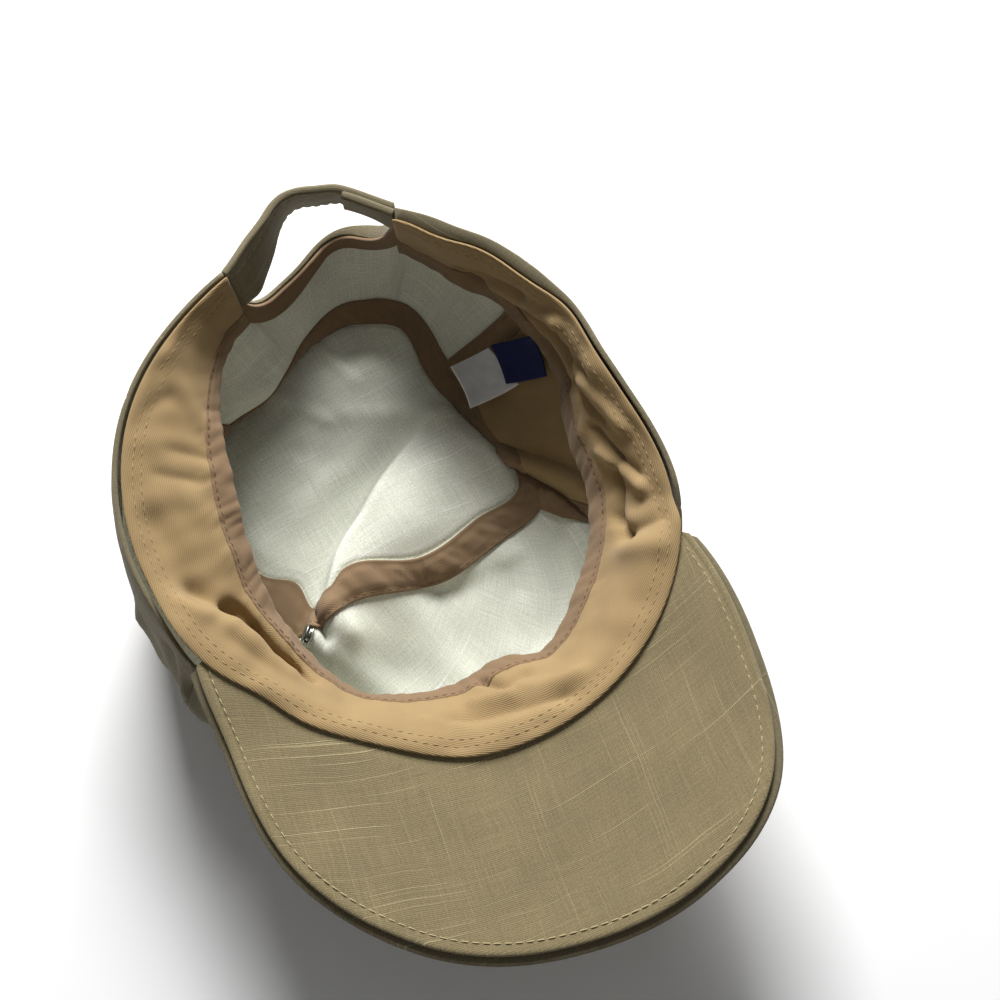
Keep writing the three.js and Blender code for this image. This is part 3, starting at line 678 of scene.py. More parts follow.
def sheet_faces(lower, upper, closed, pole, turned_in, gone):
    """The faces of a closed sheet, and the finish of each: 0 on its high side, 1 on its low side."""
    high = quads(upper[:-1, :-1], upper[1:, :-1], upper[1:, 1:], upper[:-1, 1:])
    low = quads(lower[:-1, :-1], lower[:-1, 1:], lower[1:, 1:], lower[1:, :-1])
    edges = [quads(lower[:-1, -1], upper[:-1, -1], upper[1:, -1], lower[1:, -1])]
    if not pole:
        edges.append(quads(lower[:-1, 0], lower[1:, 0], upper[1:, 0], upper[:-1, 0]))
    if not closed:
        edges.append(quads(lower[0, :-1], upper[0, :-1], upper[0, 1:], lower[0, 1:]))
        edges.append(quads(lower[-1, :-1], lower[-1, 1:], upper[-1, 1:], upper[-1, :-1]))
    rows = lower.shape[1] - 1
    high_side = np.broadcast_to(np.arange(rows) < turned_in, (len(lower) - 1, rows)).ravel()
    if gone is not None:
        kept = ~gone.ravel()
        high, low, high_side = high[kept], low[kept], high_side[kept]
        edges.append(hole_edges(gone, lower, upper))
    edge = np.concatenate(edges)
    edge_side = np.zeros(len(edge), int)
    if turned_in:
        edge_side[len(edges[0]) : len(edges[0]) + len(edges[1])] = 1
    sides = np.concatenate([high_side.astype(int), edge_side, np.ones(len(low), int)])
    return np.concatenate([high, edge, low]), sides


def sew(name, p, low, high, finishes, closed=False, pole=False, cloth=None, turned_in=0, hole=None):
    """A closed piece of cloth between two offsets from a grid of points. The first finish is on
    the high side and its edges, the second on the low side and the rows that are turned in."""
    gone = open_hole(p, *hole) if hole else None
    n = facing(p, closed)
    if pole:
        n[:, 0] = unit(n[:, 1].mean(axis=0))
    columns, rows = p.shape[:2]
    low, high = (np.broadcast_to(offset, (columns, rows))[..., None] for offset in (low, high))
    layers = np.stack([p + n * low, p + n * high])
    # Nothing goes below the surface that the cap lies on.
    layers[..., 2] = np.maximum(layers[..., 2], 0)
    here = np.arange(columns * rows).reshape(columns, rows)
    if closed:
        here = np.vstack([here, here[:1]])
    faces, sides = sheet_faces(here, here + columns * rows, closed, pole, turned_in, gone)
    cloth = lengths_on(p) if cloth is None else cloth
    upper_place = np.stack([*np.broadcast_arrays(*cloth), np.zeros((columns, rows))], axis=-1)
    lower_place = upper_place.copy()
    lower_place[..., 1] -= (high - low)[..., 0]
    places = np.stack([lower_place, upper_place]).reshape(-1, 3)
    piece = make_piece(f"cloth_{name}", layers.reshape(-1, 3), faces, places, finishes, sides)
    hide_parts(name)


def make_piece(name, verts, faces, places, finishes, sides=None):
    mesh = bpy.data.meshes.new(name)
    used, faces = np.unique(faces, return_inverse=True)
    faces = faces.reshape(-1, 4)
    places = np.asarray(places)[used]
    metres = (np.asarray(verts)[used] + CAP_SHIFT) * TO_METRES
    mesh.vertices.add(len(metres))
    mesh.vertices.foreach_set("co", metres.astype(np.float32).ravel())
    mesh.loops.add(faces.size)
    mesh.loops.foreach_set("vertex_index", faces.astype(np.int32).ravel())
    mesh.polygons.add(len(faces))
    mesh.polygons.foreach_set("loop_start", np.arange(0, faces.size, faces.shape[1], dtype=np.int32))
    for finish in finishes:
        mesh.materials.append(finish)
    if sides is not None and len(finishes) > 1:
        mesh.polygons.foreach_set("material_index", np.asarray(sides, np.int32))
    mesh.update(calc_edges=True)
    mesh.shade_smooth()
    kept = mesh.attributes.new("cloth", "FLOAT_VECTOR", "POINT")
    kept.data.foreach_set("vector", np.asarray(places, np.float32).ravel())
    mesh.validate()
    piece = bpy.data.objects.new(name, mesh)
    bpy.context.collection.objects.link(piece)
    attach(piece, "root")
    return piece


def add_node(tree, kind, **settings):
    node = tree.nodes.new(kind)
    for key, value in settings.items():
        setattr(node, key, value)
    return node


def feed(tree, socket, value):
    """Sets a socket to a number or a colour, or links it."""
    if isinstance(value, (int, float)):
        socket.default_value = value
    elif isinstance(value, tuple):
        socket.default_value = (*value, 1.0)
    else:
        tree.links.new(value, socket)


def feed_all(tree, sockets, values):
    for label, value in values.items():
        feed(tree, sockets[label], value)


def maths(tree, operation, *values):
    """One step of arithmetic on sockets or numbers."""
    node = add_node(tree, "ShaderNodeMath", operation=operation)
    for socket, value in zip(node.inputs, values):
        feed(tree, socket, value)
    return node.outputs[0]


def vector_of(tree, *values):
    node = add_node(tree, "ShaderNodeCombineXYZ")
    for socket, value in zip(node.inputs, values):
        feed(tree, socket, value)
    return node.outputs[0]


def parts_of(tree, vector):
    node = add_node(tree, "ShaderNodeSeparateXYZ")
    feed(tree, node.inputs[0], vector)
    return node.outputs


def noise(tree, place, scale, detail=2.0):
    node = add_node(tree, "ShaderNodeTexNoise")
    feed_all(tree, node.inputs, {"Vector": place, "Scale": scale, "Detail": detail})
    return node.outputs["Fac"]


def tint(tree, factor, first, second, blend="MIX"):
    """Mixes two colours, each a socket or a colour."""
    node = add_node(tree, "ShaderNodeMix", data_type="RGBA", blend_type=blend, clamp_factor=True)
    for i, value in ((0, factor), (6, first), (7, second)):
        feed(tree, node.inputs[i], value)
    return node.outputs[2]


def ramp_between(tree, value, low, high, to_low=0.0, to_high=1.0, interpolation="LINEAR"):
    node = add_node(tree, "ShaderNodeMapRange", interpolation_type=interpolation)
    labels = ("Value", "From Min", "From Max", "To Min", "To Max")
    feed_all(tree, node.inputs, dict(zip(labels, (value, low, high, to_low, to_high))))
    return node.outputs[0]


def lay_out(tree, columns=8, step=(220, -320)):
    """Sets the nodes of a tree out in rows, in the order in which they were made."""
    for i, node in enumerate(tree.nodes):
        node.location = (i % columns * step[0], i // columns * step[1])


def srgb(red, green, blue):
    """A colour as a paint chart gives it, from 0 to 255, made linear."""
    shares = (c / 255 for c in (red, green, blue))
    return tuple(c / 12.92 if c <= 0.0404 else ((c + 0.055) / 1.055) ** 2.4 for c in shares)


def shaded(colour, share):
    return tuple(c * share for c in colour)


def new_group(name, inputs, outputs):
    """An empty group that takes a place on the cloth and numbers, and puts out numbers."""
    group = bpy.data.node_groups.new(name, "ShaderNodeTree")
    group.interface.new_socket(name="Cloth", in_out="INPUT", socket_type="NodeSocketVector")
    for way, labels in (("INPUT", inputs), ("OUTPUT", outputs)):
        for label in labels:
            group.interface.new_socket(name=label, in_out=way, socket_type="NodeSocketFloat")
    return group, add_node(group, "NodeGroupInput").outputs, add_node(group, "NodeGroupOutput").inputs


def streaks(tree, across, along, width, length, seed, density):
    """Thick places in the threads: long thin marks."""
    x, y = maths(tree, "DIVIDE", across, width), maths(tree, "DIVIDE", along, length)
    place = vector_of(tree, x, y, seed)
    low, high = (maths(tree, "SUBTRACT", level, density) for level in (0.78, 0.86))
    return ramp_between(tree, noise(tree, place, 1.0, 1.0), low, high, interpolation="SMOOTHSTEP")


def slub_weave():
    """Plain weave, with a thick place here and there in both threads."""
    group, given, made = new_group(
        "slub_weave",
        ("Pitch", "Slub Length", "Slub Width", "Slub Density", "Warp Slubs"),
        ("Height", "Slubs", "Yarn", "Speck", "Mottle"),
    )
    step = partial(maths, group)
    cloth, pitch, density = given["Cloth"], given["Pitch"], given["Slub Density"]
    drift = step("MULTIPLY", step("SUBTRACT", noise(group, cloth, 0.035, 1.0), 0.5), 4.0)
    x, y = (step("ADD", part, drift) for part in parts_of(group, cloth)[:2])
    turn = step("DIVIDE", math.pi, pitch)
    waves = [step("SINE", step("MULTIPLY", part, turn)) for part in (x, y)]
    weave = step("ABSOLUTE", step("MULTIPLY", *waves))
    size = given["Slub Width"], given["Slub Length"]
    weft = streaks(group, y, x, *size, 3.7, density)
    warp = streaks(group, x, y, *size, 9.1, density)
    slubs = step("MAXIMUM", weft, step("MULTIPLY", warp, given["Warp Slubs"]))
    yarn_length = 16.0
    yarns = [
        noise(group, vector_of(group, step("DIVIDE", x, in_x), step("DIVIDE", y, in_y), seed), 1.0, 1.0)
        for in_x, in_y, seed in ((yarn_length, pitch, 0.0), (pitch, yarn_length, 5.0))
    ]
    results = {
        "Height": step("ADD", weave, step("MULTIPLY", slubs, 0.9)),
        "Slubs": slubs,
        "Yarn": step("MULTIPLY", step("ADD", *yarns), 0.5),
        "Speck": noise(group, cloth, 1.7, 2.0),
        "Mottle": noise(group, cloth, 0.06, 3.0),
    }
    feed_all(group, made, results)
    lay_out(group)
    return group


def twill_weave():
    """Slanting ribs, a little uneven."""
    group, given, made = new_group("twill_weave", ("Pitch", "Slant"), ("Height", "Rib", "Mottle"))
    step = partial(maths, group)
    cloth = given["Cloth"]
    along, across = parts_of(group, cloth)[:2]
    slanted = step("ADD", across, step("MULTIPLY", along, given["Slant"]))
    place = step("ADD", slanted, step("MULTIPLY", noise(group, cloth, 0.15, 1.0), 1.2))
    wave = step("SINE", step("MULTIPLY", place, step("DIVIDE", 2 * math.pi, given["Pitch"])))
    rib = step("MULTIPLY", step("ADD", wave, 1.0), 0.5)
    grain = step("MULTIPLY", noise(group, cloth, 1.3, 2.0), 0.6)
    results = {"Height": step("ADD", rib, grain), "Rib": rib, "Mottle": noise(group, cloth, 0.07, 3.0)}
    feed_all(group, made, results)
    lay_out(group)
    return group


def place_group(tree, group, cloth, values):
    node = add_node(tree, "ShaderNodeGroup", node_tree=group)
    feed_all(tree, node.inputs, {"Cloth": cloth, **values})
    return node.outputs


def start_material(name, slot, roughness, sheen=0.0, sheen_roughness=0.5):
    material = bpy.data.materials.new(name)
    material["slot"] = slot
    material.use_nodes = True
    tree = material.node_tree
    shader = tree.nodes["Principled BSDF"].inputs
    values = {
        "Roughness": roughness, "Sheen Weight": sheen, "Sheen Roughness": sheen_roughness,
        "Specular IOR Level": 0.25,
    }
    feed_all(tree, shader, values)
    cloth = add_node(tree, "ShaderNodeAttribute", attribute_name="cloth").outputs["Vector"]
    return material, tree, shader, cloth


def finish_material(material, shader, linked, height, strength, depth_mm):
    """Links what varies over the cloth, and the relief of its threads."""
    tree = material.node_tree
    relief = add_node(tree, "ShaderNodeBump")
    values = {"Strength": strength, "Distance": depth_mm * TO_METRES, "Height": height}
    feed_all(tree, relief.inputs, values)
    feed_all(tree, shader, {**linked, "Normal": relief.outputs[0]})
    lay_out(tree)
    return material


# What darkens and lightens slub cloth: output, from_low, from_high, to_low, to_high. Speck and Mottle
# vary its tone at random; Height paints shade into the low places of its weave.
SLUB_SHADES = (
    ("Speck", 0.32, 0.68, 0.84, 1.12),
    ("Mottle", 0.3, 0.7, 0.93, 1.05),
    ("Height", 0.0, 0.6, 0.92, 1.0),
)


def slub_material(name, base, slub, weave, values, slub_strength, depth):
    """Slub canvas, or the pale backing behind it, in shades of one colour, with painted shade in the low
    places of the weave.
    """
    material, tree, shader, cloth = start_material(name, "canvas", 0.92, 0.2, 0.55)
    threads = place_group(tree, weave, cloth, values)
    yarn = ramp_between(tree, threads["Yarn"], 0.36, 0.62)
    colour = tint(tree, yarn, shaded(base, 0.87), shaded(base, 1.05))
    colour = tint(tree, maths(tree, "MULTIPLY", threads["Slubs"], slub_strength), colour, slub)
    for output, *ends in SLUB_SHADES:
        colour = tint(tree, 1.0, colour, ramp_between(tree, threads[output], *ends), blend="MULTIPLY")
    roughness = ramp_between(tree, threads["Mottle"], 0.3, 0.7, 0.86, 0.97)
    linked = {"Base Color": colour, "Roughness": roughness}
    return finish_material(material, shader, linked, threads["Height"], 0.6, depth)


def twill_material(name, slot, base, between_ribs_shade, twill, values, depth):
    """Ribbed cloth, with painted shade between its ribs."""
    material, tree, shader, cloth = start_material(name, slot, 0.9, 0.15, 0.5)
    threads = place_group(tree, twill, cloth, values)
    colour = tint(tree, ramp_between(tree, threads["Rib"], 0.0, 0.75), between_ribs_shade, base)
    mottle = maths(tree, "MULTIPLY", ramp_between(tree, threads["Mottle"], 0.32, 0.7), 0.4)
    colour = tint(tree, mottle, colour, shaded(base, 1.1))
    roughness = ramp_between(tree, threads["Mottle"], 0.3, 0.7, 0.84, 0.95)
    linked = {"Base Color": colour, "Roughness": roughness}
    return finish_material(material, shader, linked, threads["Height"], 0.6, depth)


def satin_material(name, slot, base, roughness, rib_pitch=0.45):
    """Smooth label ribbon with a fine straight rib."""
    material, tree, shader, cloth = start_material(name, slot, roughness, 0.1, 0.4)
    across = parts_of(tree, cloth)[1]
    rib = maths(tree, "SINE", maths(tree, "MULTIPLY", across, 2 * math.pi / rib_pitch))
    cloud = noise(tree, cloth, 0.25)
    colour = tint(tree, ramp_between(tree, cloud, 0.3, 0.7), shaded(base, 0.86), base)
    varied = ramp_between(tree, cloud, 0.3, 0.7, roughness - 0.08, roughness + 0.08)
    linked = {"Base Color": colour, "Roughness": varied}
    return finish_material(material, shader, linked, rib, 0.35, 0.04)


def thread_material(name, slot, base, ply_pitch=0.5):
    """Sewing thread, with the slant of its twist, and painted shade in the grooves between its plies."""
    material, tree, shader, cloth = start_material(name, slot, 0.75, 0.2, 0.4)
    along, around = parts_of(tree, cloth)[:2]
    slant = maths(tree, "ADD", along, maths(tree, "MULTIPLY", around, 0.5))
    ply = maths(tree, "SINE", maths(tree, "MULTIPLY", slant, 2 * math.pi / ply_pitch))
    colour = tint(tree, ramp_between(tree, ply, -1.0, 1.0), shaded(base, 0.72), base)
    return finish_material(material, shader, {"Base Color": colour}, ply, 0.5, 0.05)


def metal_material(name):
    """Plated metal, a little worn."""
    material, tree, shader, cloth = start_material(name, "nickel", 0.34)
    shader["Metallic"].default_value = 1.0
    wear = noise(tree, cloth, 1.6, 4.0)
    colour = tint(tree, ramp_between(tree, wear, 0.35, 0.7), srgb(190, 190, 186), srgb(150, 148, 142))
    roughness = ramp_between(tree, wear, 0.3, 0.7, 0.25, 0.48)
    linked = {"Base Color": colour, "Roughness": roughness}
    return finish_material(material, shader, linked, wear, 0.2, 0.03)


weave, twill = slub_weave(), twill_weave()
OLIVE_VALUES = {
    "Pitch": 0.55, "Slub Length": 75.0, "Slub Width": 0.5, "Slub Density": 0.115, "Warp Slubs": 0.6,
}
CREAM_VALUES = {
    "Pitch": 0.5, "Slub Length": 70.0, "Slub Width": 0.7, "Slub Density": 0.13, "Warp Slubs": 0.1,
}
TWILL_VALUES = {"Pitch": 0.62, "Slant": 0.2}
TAPE_VALUES = {"Pitch": 0.5, "Slant": 0.9}
olive_canvas = slub_material(
    "olive_canvas", srgb(142, 128, 94), srgb(184, 171, 130), weave, OLIVE_VALUES, 0.8, 0.1
)
# The outer face of the canvas, a greyer olive than the peak in its own tone. Its darker base also paints
# shade onto the crown's outside, the rim hem and the strap.
shaded_outer_canvas = slub_material(
    "shaded_outer_canvas", srgb(120, 110, 84), srgb(156, 147, 117), weave, OLIVE_VALUES, 0.7, 0.12
)
cream_backing = slub_material(
    "cream_backing", srgb(234, 236, 220), srgb(246, 247, 238), weave, CREAM_VALUES, 0.8, 0.09
)
tan_twill = twill_material(
    "tan_twill", "twill", srgb(160, 135, 95), srgb(138, 114, 77), twill, TWILL_VALUES, 0.12
)
brown_tape = twill_material(
    "brown_tape", "tape", srgb(135, 111, 83), srgb(116, 93, 69), twill, TAPE_VALUES, 0.1
)
navy_satin = satin_material("navy_satin", "blue_satin", srgb(24, 30, 82), 0.5)
white_satin = satin_material("white_satin", "white_satin", srgb(246, 249, 250), 0.42)
olive_thread = thread_material("olive_thread", "canvas", srgb(190, 177, 134))
tan_thread = thread_material("tan_thread", "twill", srgb(176, 150, 109))
brown_thread = thread_material("brown_thread", "tape", srgb(140, 112, 84))
nickel = metal_material("nickel")


def panel_angles(start, end, pitch):
    """The angles at the rim and at the crown top of the columns of one wall panel."""
    (rim0, top0), (rim1, top1) = SEAMS[start], SEAMS[end]
    turn = 360 if rim1 < rim0 else 0
    width = (rim1 + turn - rim0) * WALL_PER_DEGREE
    u = hemmed(0, 1, width, pitch)
    return mix(rim0, rim1 + turn, u), mix(top0, top1 + turn, u)


def edge_distance(lengths):
    """The distance of each place on a piece from the nearer of two facing edges."""
    far = lengths.max(axis=1, keepdims=True) if lengths[0, -1] > lengths[0, 0] else lengths.max()
    return np.minimum(lengths - lengths.min(), far - lengths)


def stitched_down(distance, rows, depth=0.22, width=0.55):
    """How far rows of stitching pull the cloth down, at a distance from its edge."""
    return sum(depth * np.exp(-(((distance - row) / width) ** 2)) for row in rows)


HEM = {
    "rolled": (108, 178), "start_fade": 22, "end_fade": 12, "peak_fades": (22, 12),
    "least": 0.5, "height": 2.7, "depth": 5.5, "depth_fade": 4.5, "stitched": 5.2, "rows": 6,
}


def rim_hem(angle, across):
    """How far the hem stands out along the rim: full at the right rear, flat under the peak."""
    start, end = HEM["rolled"]
    rolled = smooth((angle - start) / HEM["start_fade"]) * smooth((end - angle) / HEM["end_fade"])
    uneven = 1 + ruffled("hem", angle * WALL_PER_DEGREE, 0 * angle)
    height = (HEM["least"] + HEM["height"] * rolled * uneven) * (1 - under_peak(angle, HEM["peak_fades"]))
    return height[:, None] * (1 - smooth((across - HEM["depth"]) / HEM["depth_fade"]))


def turned(cloth, degrees):
    """Cloth cut with its threads at an angle to the panel."""
    c, s = math.cos(math.radians(degrees)), math.sin(math.radians(degrees))
    return cloth[0] * c + cloth[1] * s, cloth[1] * c - cloth[0] * s


# Rows of stitching, by their distance from the edge of the cloth.
BAND_ROWS = (3.6, 6.2)
STRAP_ROWS = (1.8, 5.0)
PEAK_ROW = 3.6
SEAM_ROW = 2.2
TAPE_ROW = 1.3
BINDING_ROW = 1.5
# How far one tape laps over the next.
TAPE_LAP = 1.5
# How far the threads of each panel turn from its edge, in degrees.
GRAIN = {
    "crown_front": 40, "crown_side_right": 12, "crown_back": -8, "crown_side_left": 10, "crown_top": 12,
}


def sew_wall_panel(name, start, end, hole=None):
    rim_angle, top_angle = panel_angles(start, end, 1.7)
    first = wall_start(rim_angle)
    share = mix(first[:, None], 1.0, hemmed(0, 1, 100, 1.8)[None, :])
    angle = mix(rim_angle[:, None], top_angle[:, None], share)
    p = soft_wall(angle, share)
    along, across = lengths_on(p)
    seam = np.minimum(along, along.max() - along)
    inside = CROWN_CLOTH / 2 * plump(across, 0.8)
    outside = inside * plump(seam, 1.6) - stitched_down(seam, (SEAM_ROW,))
    outside = outside + rim_hem(np.mod(rim_angle, 360), across)
    outside = outside - stitched_down(across, (HEM["stitched"],), 0.3, 0.6)
    cloth = turned((along, across), GRAIN[name])
    rows = HEM["rows"] * (1 if name == "crown_back" else 2)
    finishes = [cream_backing, shaded_outer_canvas]
    sew(name, p, -outside, inside, finishes, cloth=cloth, turned_in=rows, hole=hole)


def sew_crown_top():
    angles = np.arange(0, 360, 1.25)
    shares = np.linspace(0, 1, 48)
    p = soft_top(angles[:, None], shares[None, :])
    half = CROWN_CLOTH / 2
    low = -half * plump((1 - shares) * 50, 1.4)[None, :]
    cloth = turned((p[..., 0], p[..., 1]), GRAIN["crown_top"])
    sew("crown_top", p, low, half, [shaded_outer_canvas, cream_backing], closed=True, pole=True, cloth=cloth)


def puckered(along, across, edge):
    """Slanting puckers of a tape between its two rows of stitching."""
    waves = RUFFLES["tape"][0] + ruffled("tape", along + 0.7 * across, 0.35 * across)
    return waves * smooth((edge - 1.0) / 1.6)


def tape_offsets(along, across, rise):
    """The low and high face of a folded tape, stitched down along both edges."""
    edge = edge_distance(across)
    high = TAPE_INNER + rise + TAPE_CLOTH * plump(edge, 0.6) - stitched_down(edge, (TAPE_ROW,), 0.3, 0.5)
    return TAPE_INNER + rise - 0.3, high + puckered(along, across, edge)


def sew_top_tape():
    angles = np.arange(0, 360, 0.9)
    first = share_along_wall(angles, TAPE_START + TAPE_WIDTH, True)
    last = share_along_wall(angles, TAPE_START - TAPE_LAP, True)
    rows = hemmed(0, 1, TAPE_WIDTH, 0.8)
    share = mix(first[:, None], last[:, None], rows[None, :])
    p = soft_wall(angles[:, None], share)
    across = np.broadcast_to(rows[None, :] * TAPE_WIDTH, share.shape)
    low, high = tape_offsets(lengths_on(p)[0], across, 0.0)
    sew("tape_top", p, low, high, [brown_tape], closed=True)


def seam_tape_places(seam, pitch=1.6):
    rim, top = SEAMS[seam]
    first = share_along_wall(rim, SEAM_TAPE_DROP)[0]
    last = share_along_wall(top, TAPE_START + TAPE_WIDTH - TAPE_LAP, True)[0]
    share = np.linspace(first, last, int(90 / pitch))
    angle = mix(rim, top, share)
    per_degree = np.linalg.norm(wall_point(angle + 1, share) - wall_point(angle, share), axis=-1)
    return angle, share, TAPE_WIDTH / 2 / per_degree


def sew_seam_tape(name, seam):
    angle, share, half = seam_tape_places(seam)
    side = hemmed(-1, 1, TAPE_WIDTH, 0.8)[:, None]
    p = soft_wall(angle + side * half, share + 0 * side)
    across = (side + 1) / 2 * TAPE_WIDTH + 0 * share
    edge = np.minimum(across, TAPE_WIDTH - across)
    _, length = lengths_on(p)
    folded_up = TAPE_CLOTH * plump(edge, 0.6) - stitched_down(edge, (TAPE_ROW,), 0.3, 0.5)
    high = TAPE_INNER + SEAM_RISE + folded_up + puckered(length, across, edge)
    sew(name, p, TAPE_INNER, high, [brown_tape], cloth=(length, across))


def sew_side_lining():
    rim_angle, top_angle = panel_angles("front_right", "back_right", 1.8)
    keep = slice(4, -4)
    rim_angle, top_angle = rim_angle[keep], top_angle[keep]
    first = share_along_wall(rim_angle, SEAM_TAPE_DROP - 1)
    last = share_along_wall(top_angle, TAPE_START + TAPE_WIDTH - TAPE_LAP, True)
    share = mix(first[:, None], last[:, None], hemmed(0, 1, 80, 1.8)[None, :])
    p = soft_wall(mix(rim_angle[:, None], top_angle[:, None], share), share)
    sew("side_lining", p, TAPE_INNER - 0.3, TAPE_OUTER - 0.3, [tan_twill])


BAND_ANGLES = np.linspace(*BAND_ENDS, 400)


def sew_sweatband():
    t = hemmed(0, 1 - BINDING_SHARE + 0.05, 30, 1.1)
    p = soft_band(BAND_ANGLES[:, None], t[None, :])
    along, across = lengths_on(p)
    ends = np.minimum(along, along.max() - along)
    lip = plump(across, 0.9) * plump(ends, 0.9)
    high = BAND_CLOTH / 2 * lip - stitched_down(across, BAND_ROWS, 0.14, 0.6)
    sew("sweatband", p, -BAND_CLOTH / 2 * lip, high, [tan_twill], cloth=(along, across))


def sew_band_binding():
    t = hemmed(1 - BINDING_SHARE + 0.005, 1, 9, 0.8)
    p = soft_band(BAND_ANGLES[:, None], t[None, :])
    along, across = lengths_on(p)
    inner_edge = plump(across, 0.7)
    fold = plump(across.max(axis=1, keepdims=True) - across, 1.8)
    half = BINDING_CLOTH / 2
    high = half * inner_edge * fold - stitched_down(across, (BINDING_ROW,), 0.5, 0.5)
    sew("sweatband_binding", p, -half * fold, high, [brown_tape], cloth=(along, across))


def arch_edge(turn, out, per_degree=1.48):
    """A place round the edge of the back opening, by a half turn, and outside it by a length."""
    x = np.sign(np.cos(turn)) * np.abs(np.cos(turn)) ** (2 / ARCH["corner"])
    across = x * ARCH["half_angle"] * per_degree
    depth = np.sin(turn) * ARCH["depth"]
    ahead, deeper = np.gradient(across, axis=0), np.gradient(depth, axis=0)
    size = np.hypot(ahead, deeper)
    across = across + out * deeper / size
    depth = depth - out * ahead / size
    return ARCH["centre"] - across / per_degree, depth


def sew_arch_binding():
    base = np.linspace(0, 1, 140)
    turn = math.pi * (base - 0.018 * np.sin(2 * math.pi * base))
    width = hemmed(0.1, 1, ARCH["binding"], 0.8) * ARCH["binding"]
    angle, depth = arch_edge(turn[:, None] + 0 * width[None, :], width[None, :])
    depth = np.maximum(depth, 3.5)
    share = share_along_wall(angle.ravel(), depth.ravel()).reshape(angle.shape)
    p = soft_wall(angle, share)
    across = np.broadcast_to(width[None, :], angle.shape)
    edge = np.minimum(across - width[0], width[-1] - across)
    rise = (TAPE_INNER + SEAM_RISE) * mix(0.62, 1.0, smooth((depth - 22) / 6))
    high = rise + TAPE_CLOTH * plump(edge, 0.7) - stitched_down(edge, (TAPE_ROW,), 0.2, 0.5)
    sew("arch_binding", p, rise - 0.5, high, [brown_tape])


def sew_strap(name, surface, first, last, high_finish):
    angles = mix(first, last, hemmed(0, 1, 80, 1.2))[::-1]
    v = hemmed(0, 1, STRAP_WIDTH, 1.0)
    p = surface(angles[:, None], v[None, :])
    _, across = lengths_on(p)
    along = np.abs(angles - angles[0])[:, None] * 1.6
    ends = np.minimum(along, along.max() - along)
    hem = plump(across, 1.2) * plump(STRAP_WIDTH - across, 1.2) * mix(0.7, 1, plump(ends, 0.6))
    thick = STRAP_CLOTH / 2 * hem * (1 + 0.75 * np.exp(-((across / 3.0) ** 2)))
    sides = np.minimum(across, STRAP_WIDTH - across)
    pressed = stitched_down(sides, STRAP_ROWS, 0.22, 0.5)
    sew(name, p, -thick + pressed, thick - pressed, [high_finish])


def peak_angles():
    ends = PEAK_SECTIONS[0][0] + 0.6, PEAK_SECTIONS[-1][0] - 0.6
    return mix(*ends, hemmed(0, 1, 200, 1.3))


def peak_cloth(p):
    """The threads of the peak's cloth run straight out, and across in a shallow bow."""
    return p[..., 0], p[..., 1] - 0.0025 * p[..., 0] ** 2


def sew_peak(name, low, high, beyond, seam_side, finish):
    angles = peak_angles()
    reach = (peak["reach"](angles) + PEAK_TUCK)[:, None]
    t = mix(0, 1 + beyond / reach, hemmed(0, 1, 60, 1.5)[None, :])
    p = soft_peak(angles[:, None], t)
    edge = (1 + beyond / reach - t) * reach
    middle, half = (low + high) / 2, (high - low) / 2
    fold = plump(edge, 1.9)
    pressed = stitched_down(edge, (PEAK_ROW,), 0.25, 0.6)
    under = middle - half * fold + (pressed if seam_side < 0 else 0)
    over = middle + half * fold - (pressed if seam_side > 0 else 0)
    sew(name, p, under, over, [finish], cloth=peak_cloth(p))


LABEL_SIZE = (14, 18)
# The labels: the ends of the sewn and of the free edge, each an angle and a share of the wall,
# then how far they lift and curl, and how far the free edge stands off the lining.
LABELS = {
    "label_white": {
        "sewn": ((116.5, 0.59), (101, 0.58)), "free": ((114.5, 0.82), (94, 0.85)),
        "lift": 3.3, "curl": 1.0, "stands_off": (-1.4, -3.8, 11.2), "finish": white_satin,
    },
    "label_blue": {
        "sewn": ((114, 0.34), (101, 0.42)), "free": ((116.5, 0.55), (101.5, 0.62)),
        "lift": 5.2, "curl": 0.8, "stands_off": (-0.2, -0.6, 1.8), "finish": navy_satin,
    },
}


def sew_label(name, sewn, free, lift, curl, stands_off, finish):
    width, length = LABEL_SIZE
    u, v = np.meshgrid(hemmed(0, 1, width, 1.0), hemmed(0, 1, length, 1.0), indexing="ij")
    first, last = (mix(*np.array(ends, float), u[..., None]) for ends in (sewn, free))
    angle, share = np.moveaxis(mix(first, last, v[..., None]), -1, 0)
    n = normal_at(shaped_wall, angle, share, 0.5, 0.01)
    wave = 0.35 * np.sin(u * 3.1 + v * 2.2) * v
    p = shaped_wall(angle, share) + n * (lift + curl * v * v + wave)[..., None]
    p = p + np.array(stands_off) * (v**1.3)[..., None]
    across, along = u * width, v * length
    edge = np.minimum(np.minimum(across, width - across), np.minimum(along, length - along))
    half = LABEL_CLOTH / 2 * plump(edge, 0.6)
    sew(name, p, -half, half, [finish], cloth=(across, along))


# The rows of stitches: their thread, and the length, gap and radius of one stitch.
STITCHES = {
    "stitches_sweatband": (tan_thread, 2.2, 1.0, 0.14),
    "stitches_binding": (brown_thread, 2.0, 0.8, 0.17),
    "stitches_tapes": (brown_thread, 2.1, 0.9, 0.16),
    "stitches_peak": (olive_thread, 2.5, 0.7, 0.21),
    "stitches_strap": (olive_thread, 2.4, 0.8, 0.19),
}
# The rings of one stitch: shares of its length, and heights over the line that it follows.
STITCH_STATIONS = np.array([0.0, 0.14, 0.5, 0.86, 1.0])
STITCH_HEIGHTS = np.array([-0.24, 0.04, 0.12, 0.04, -0.24])


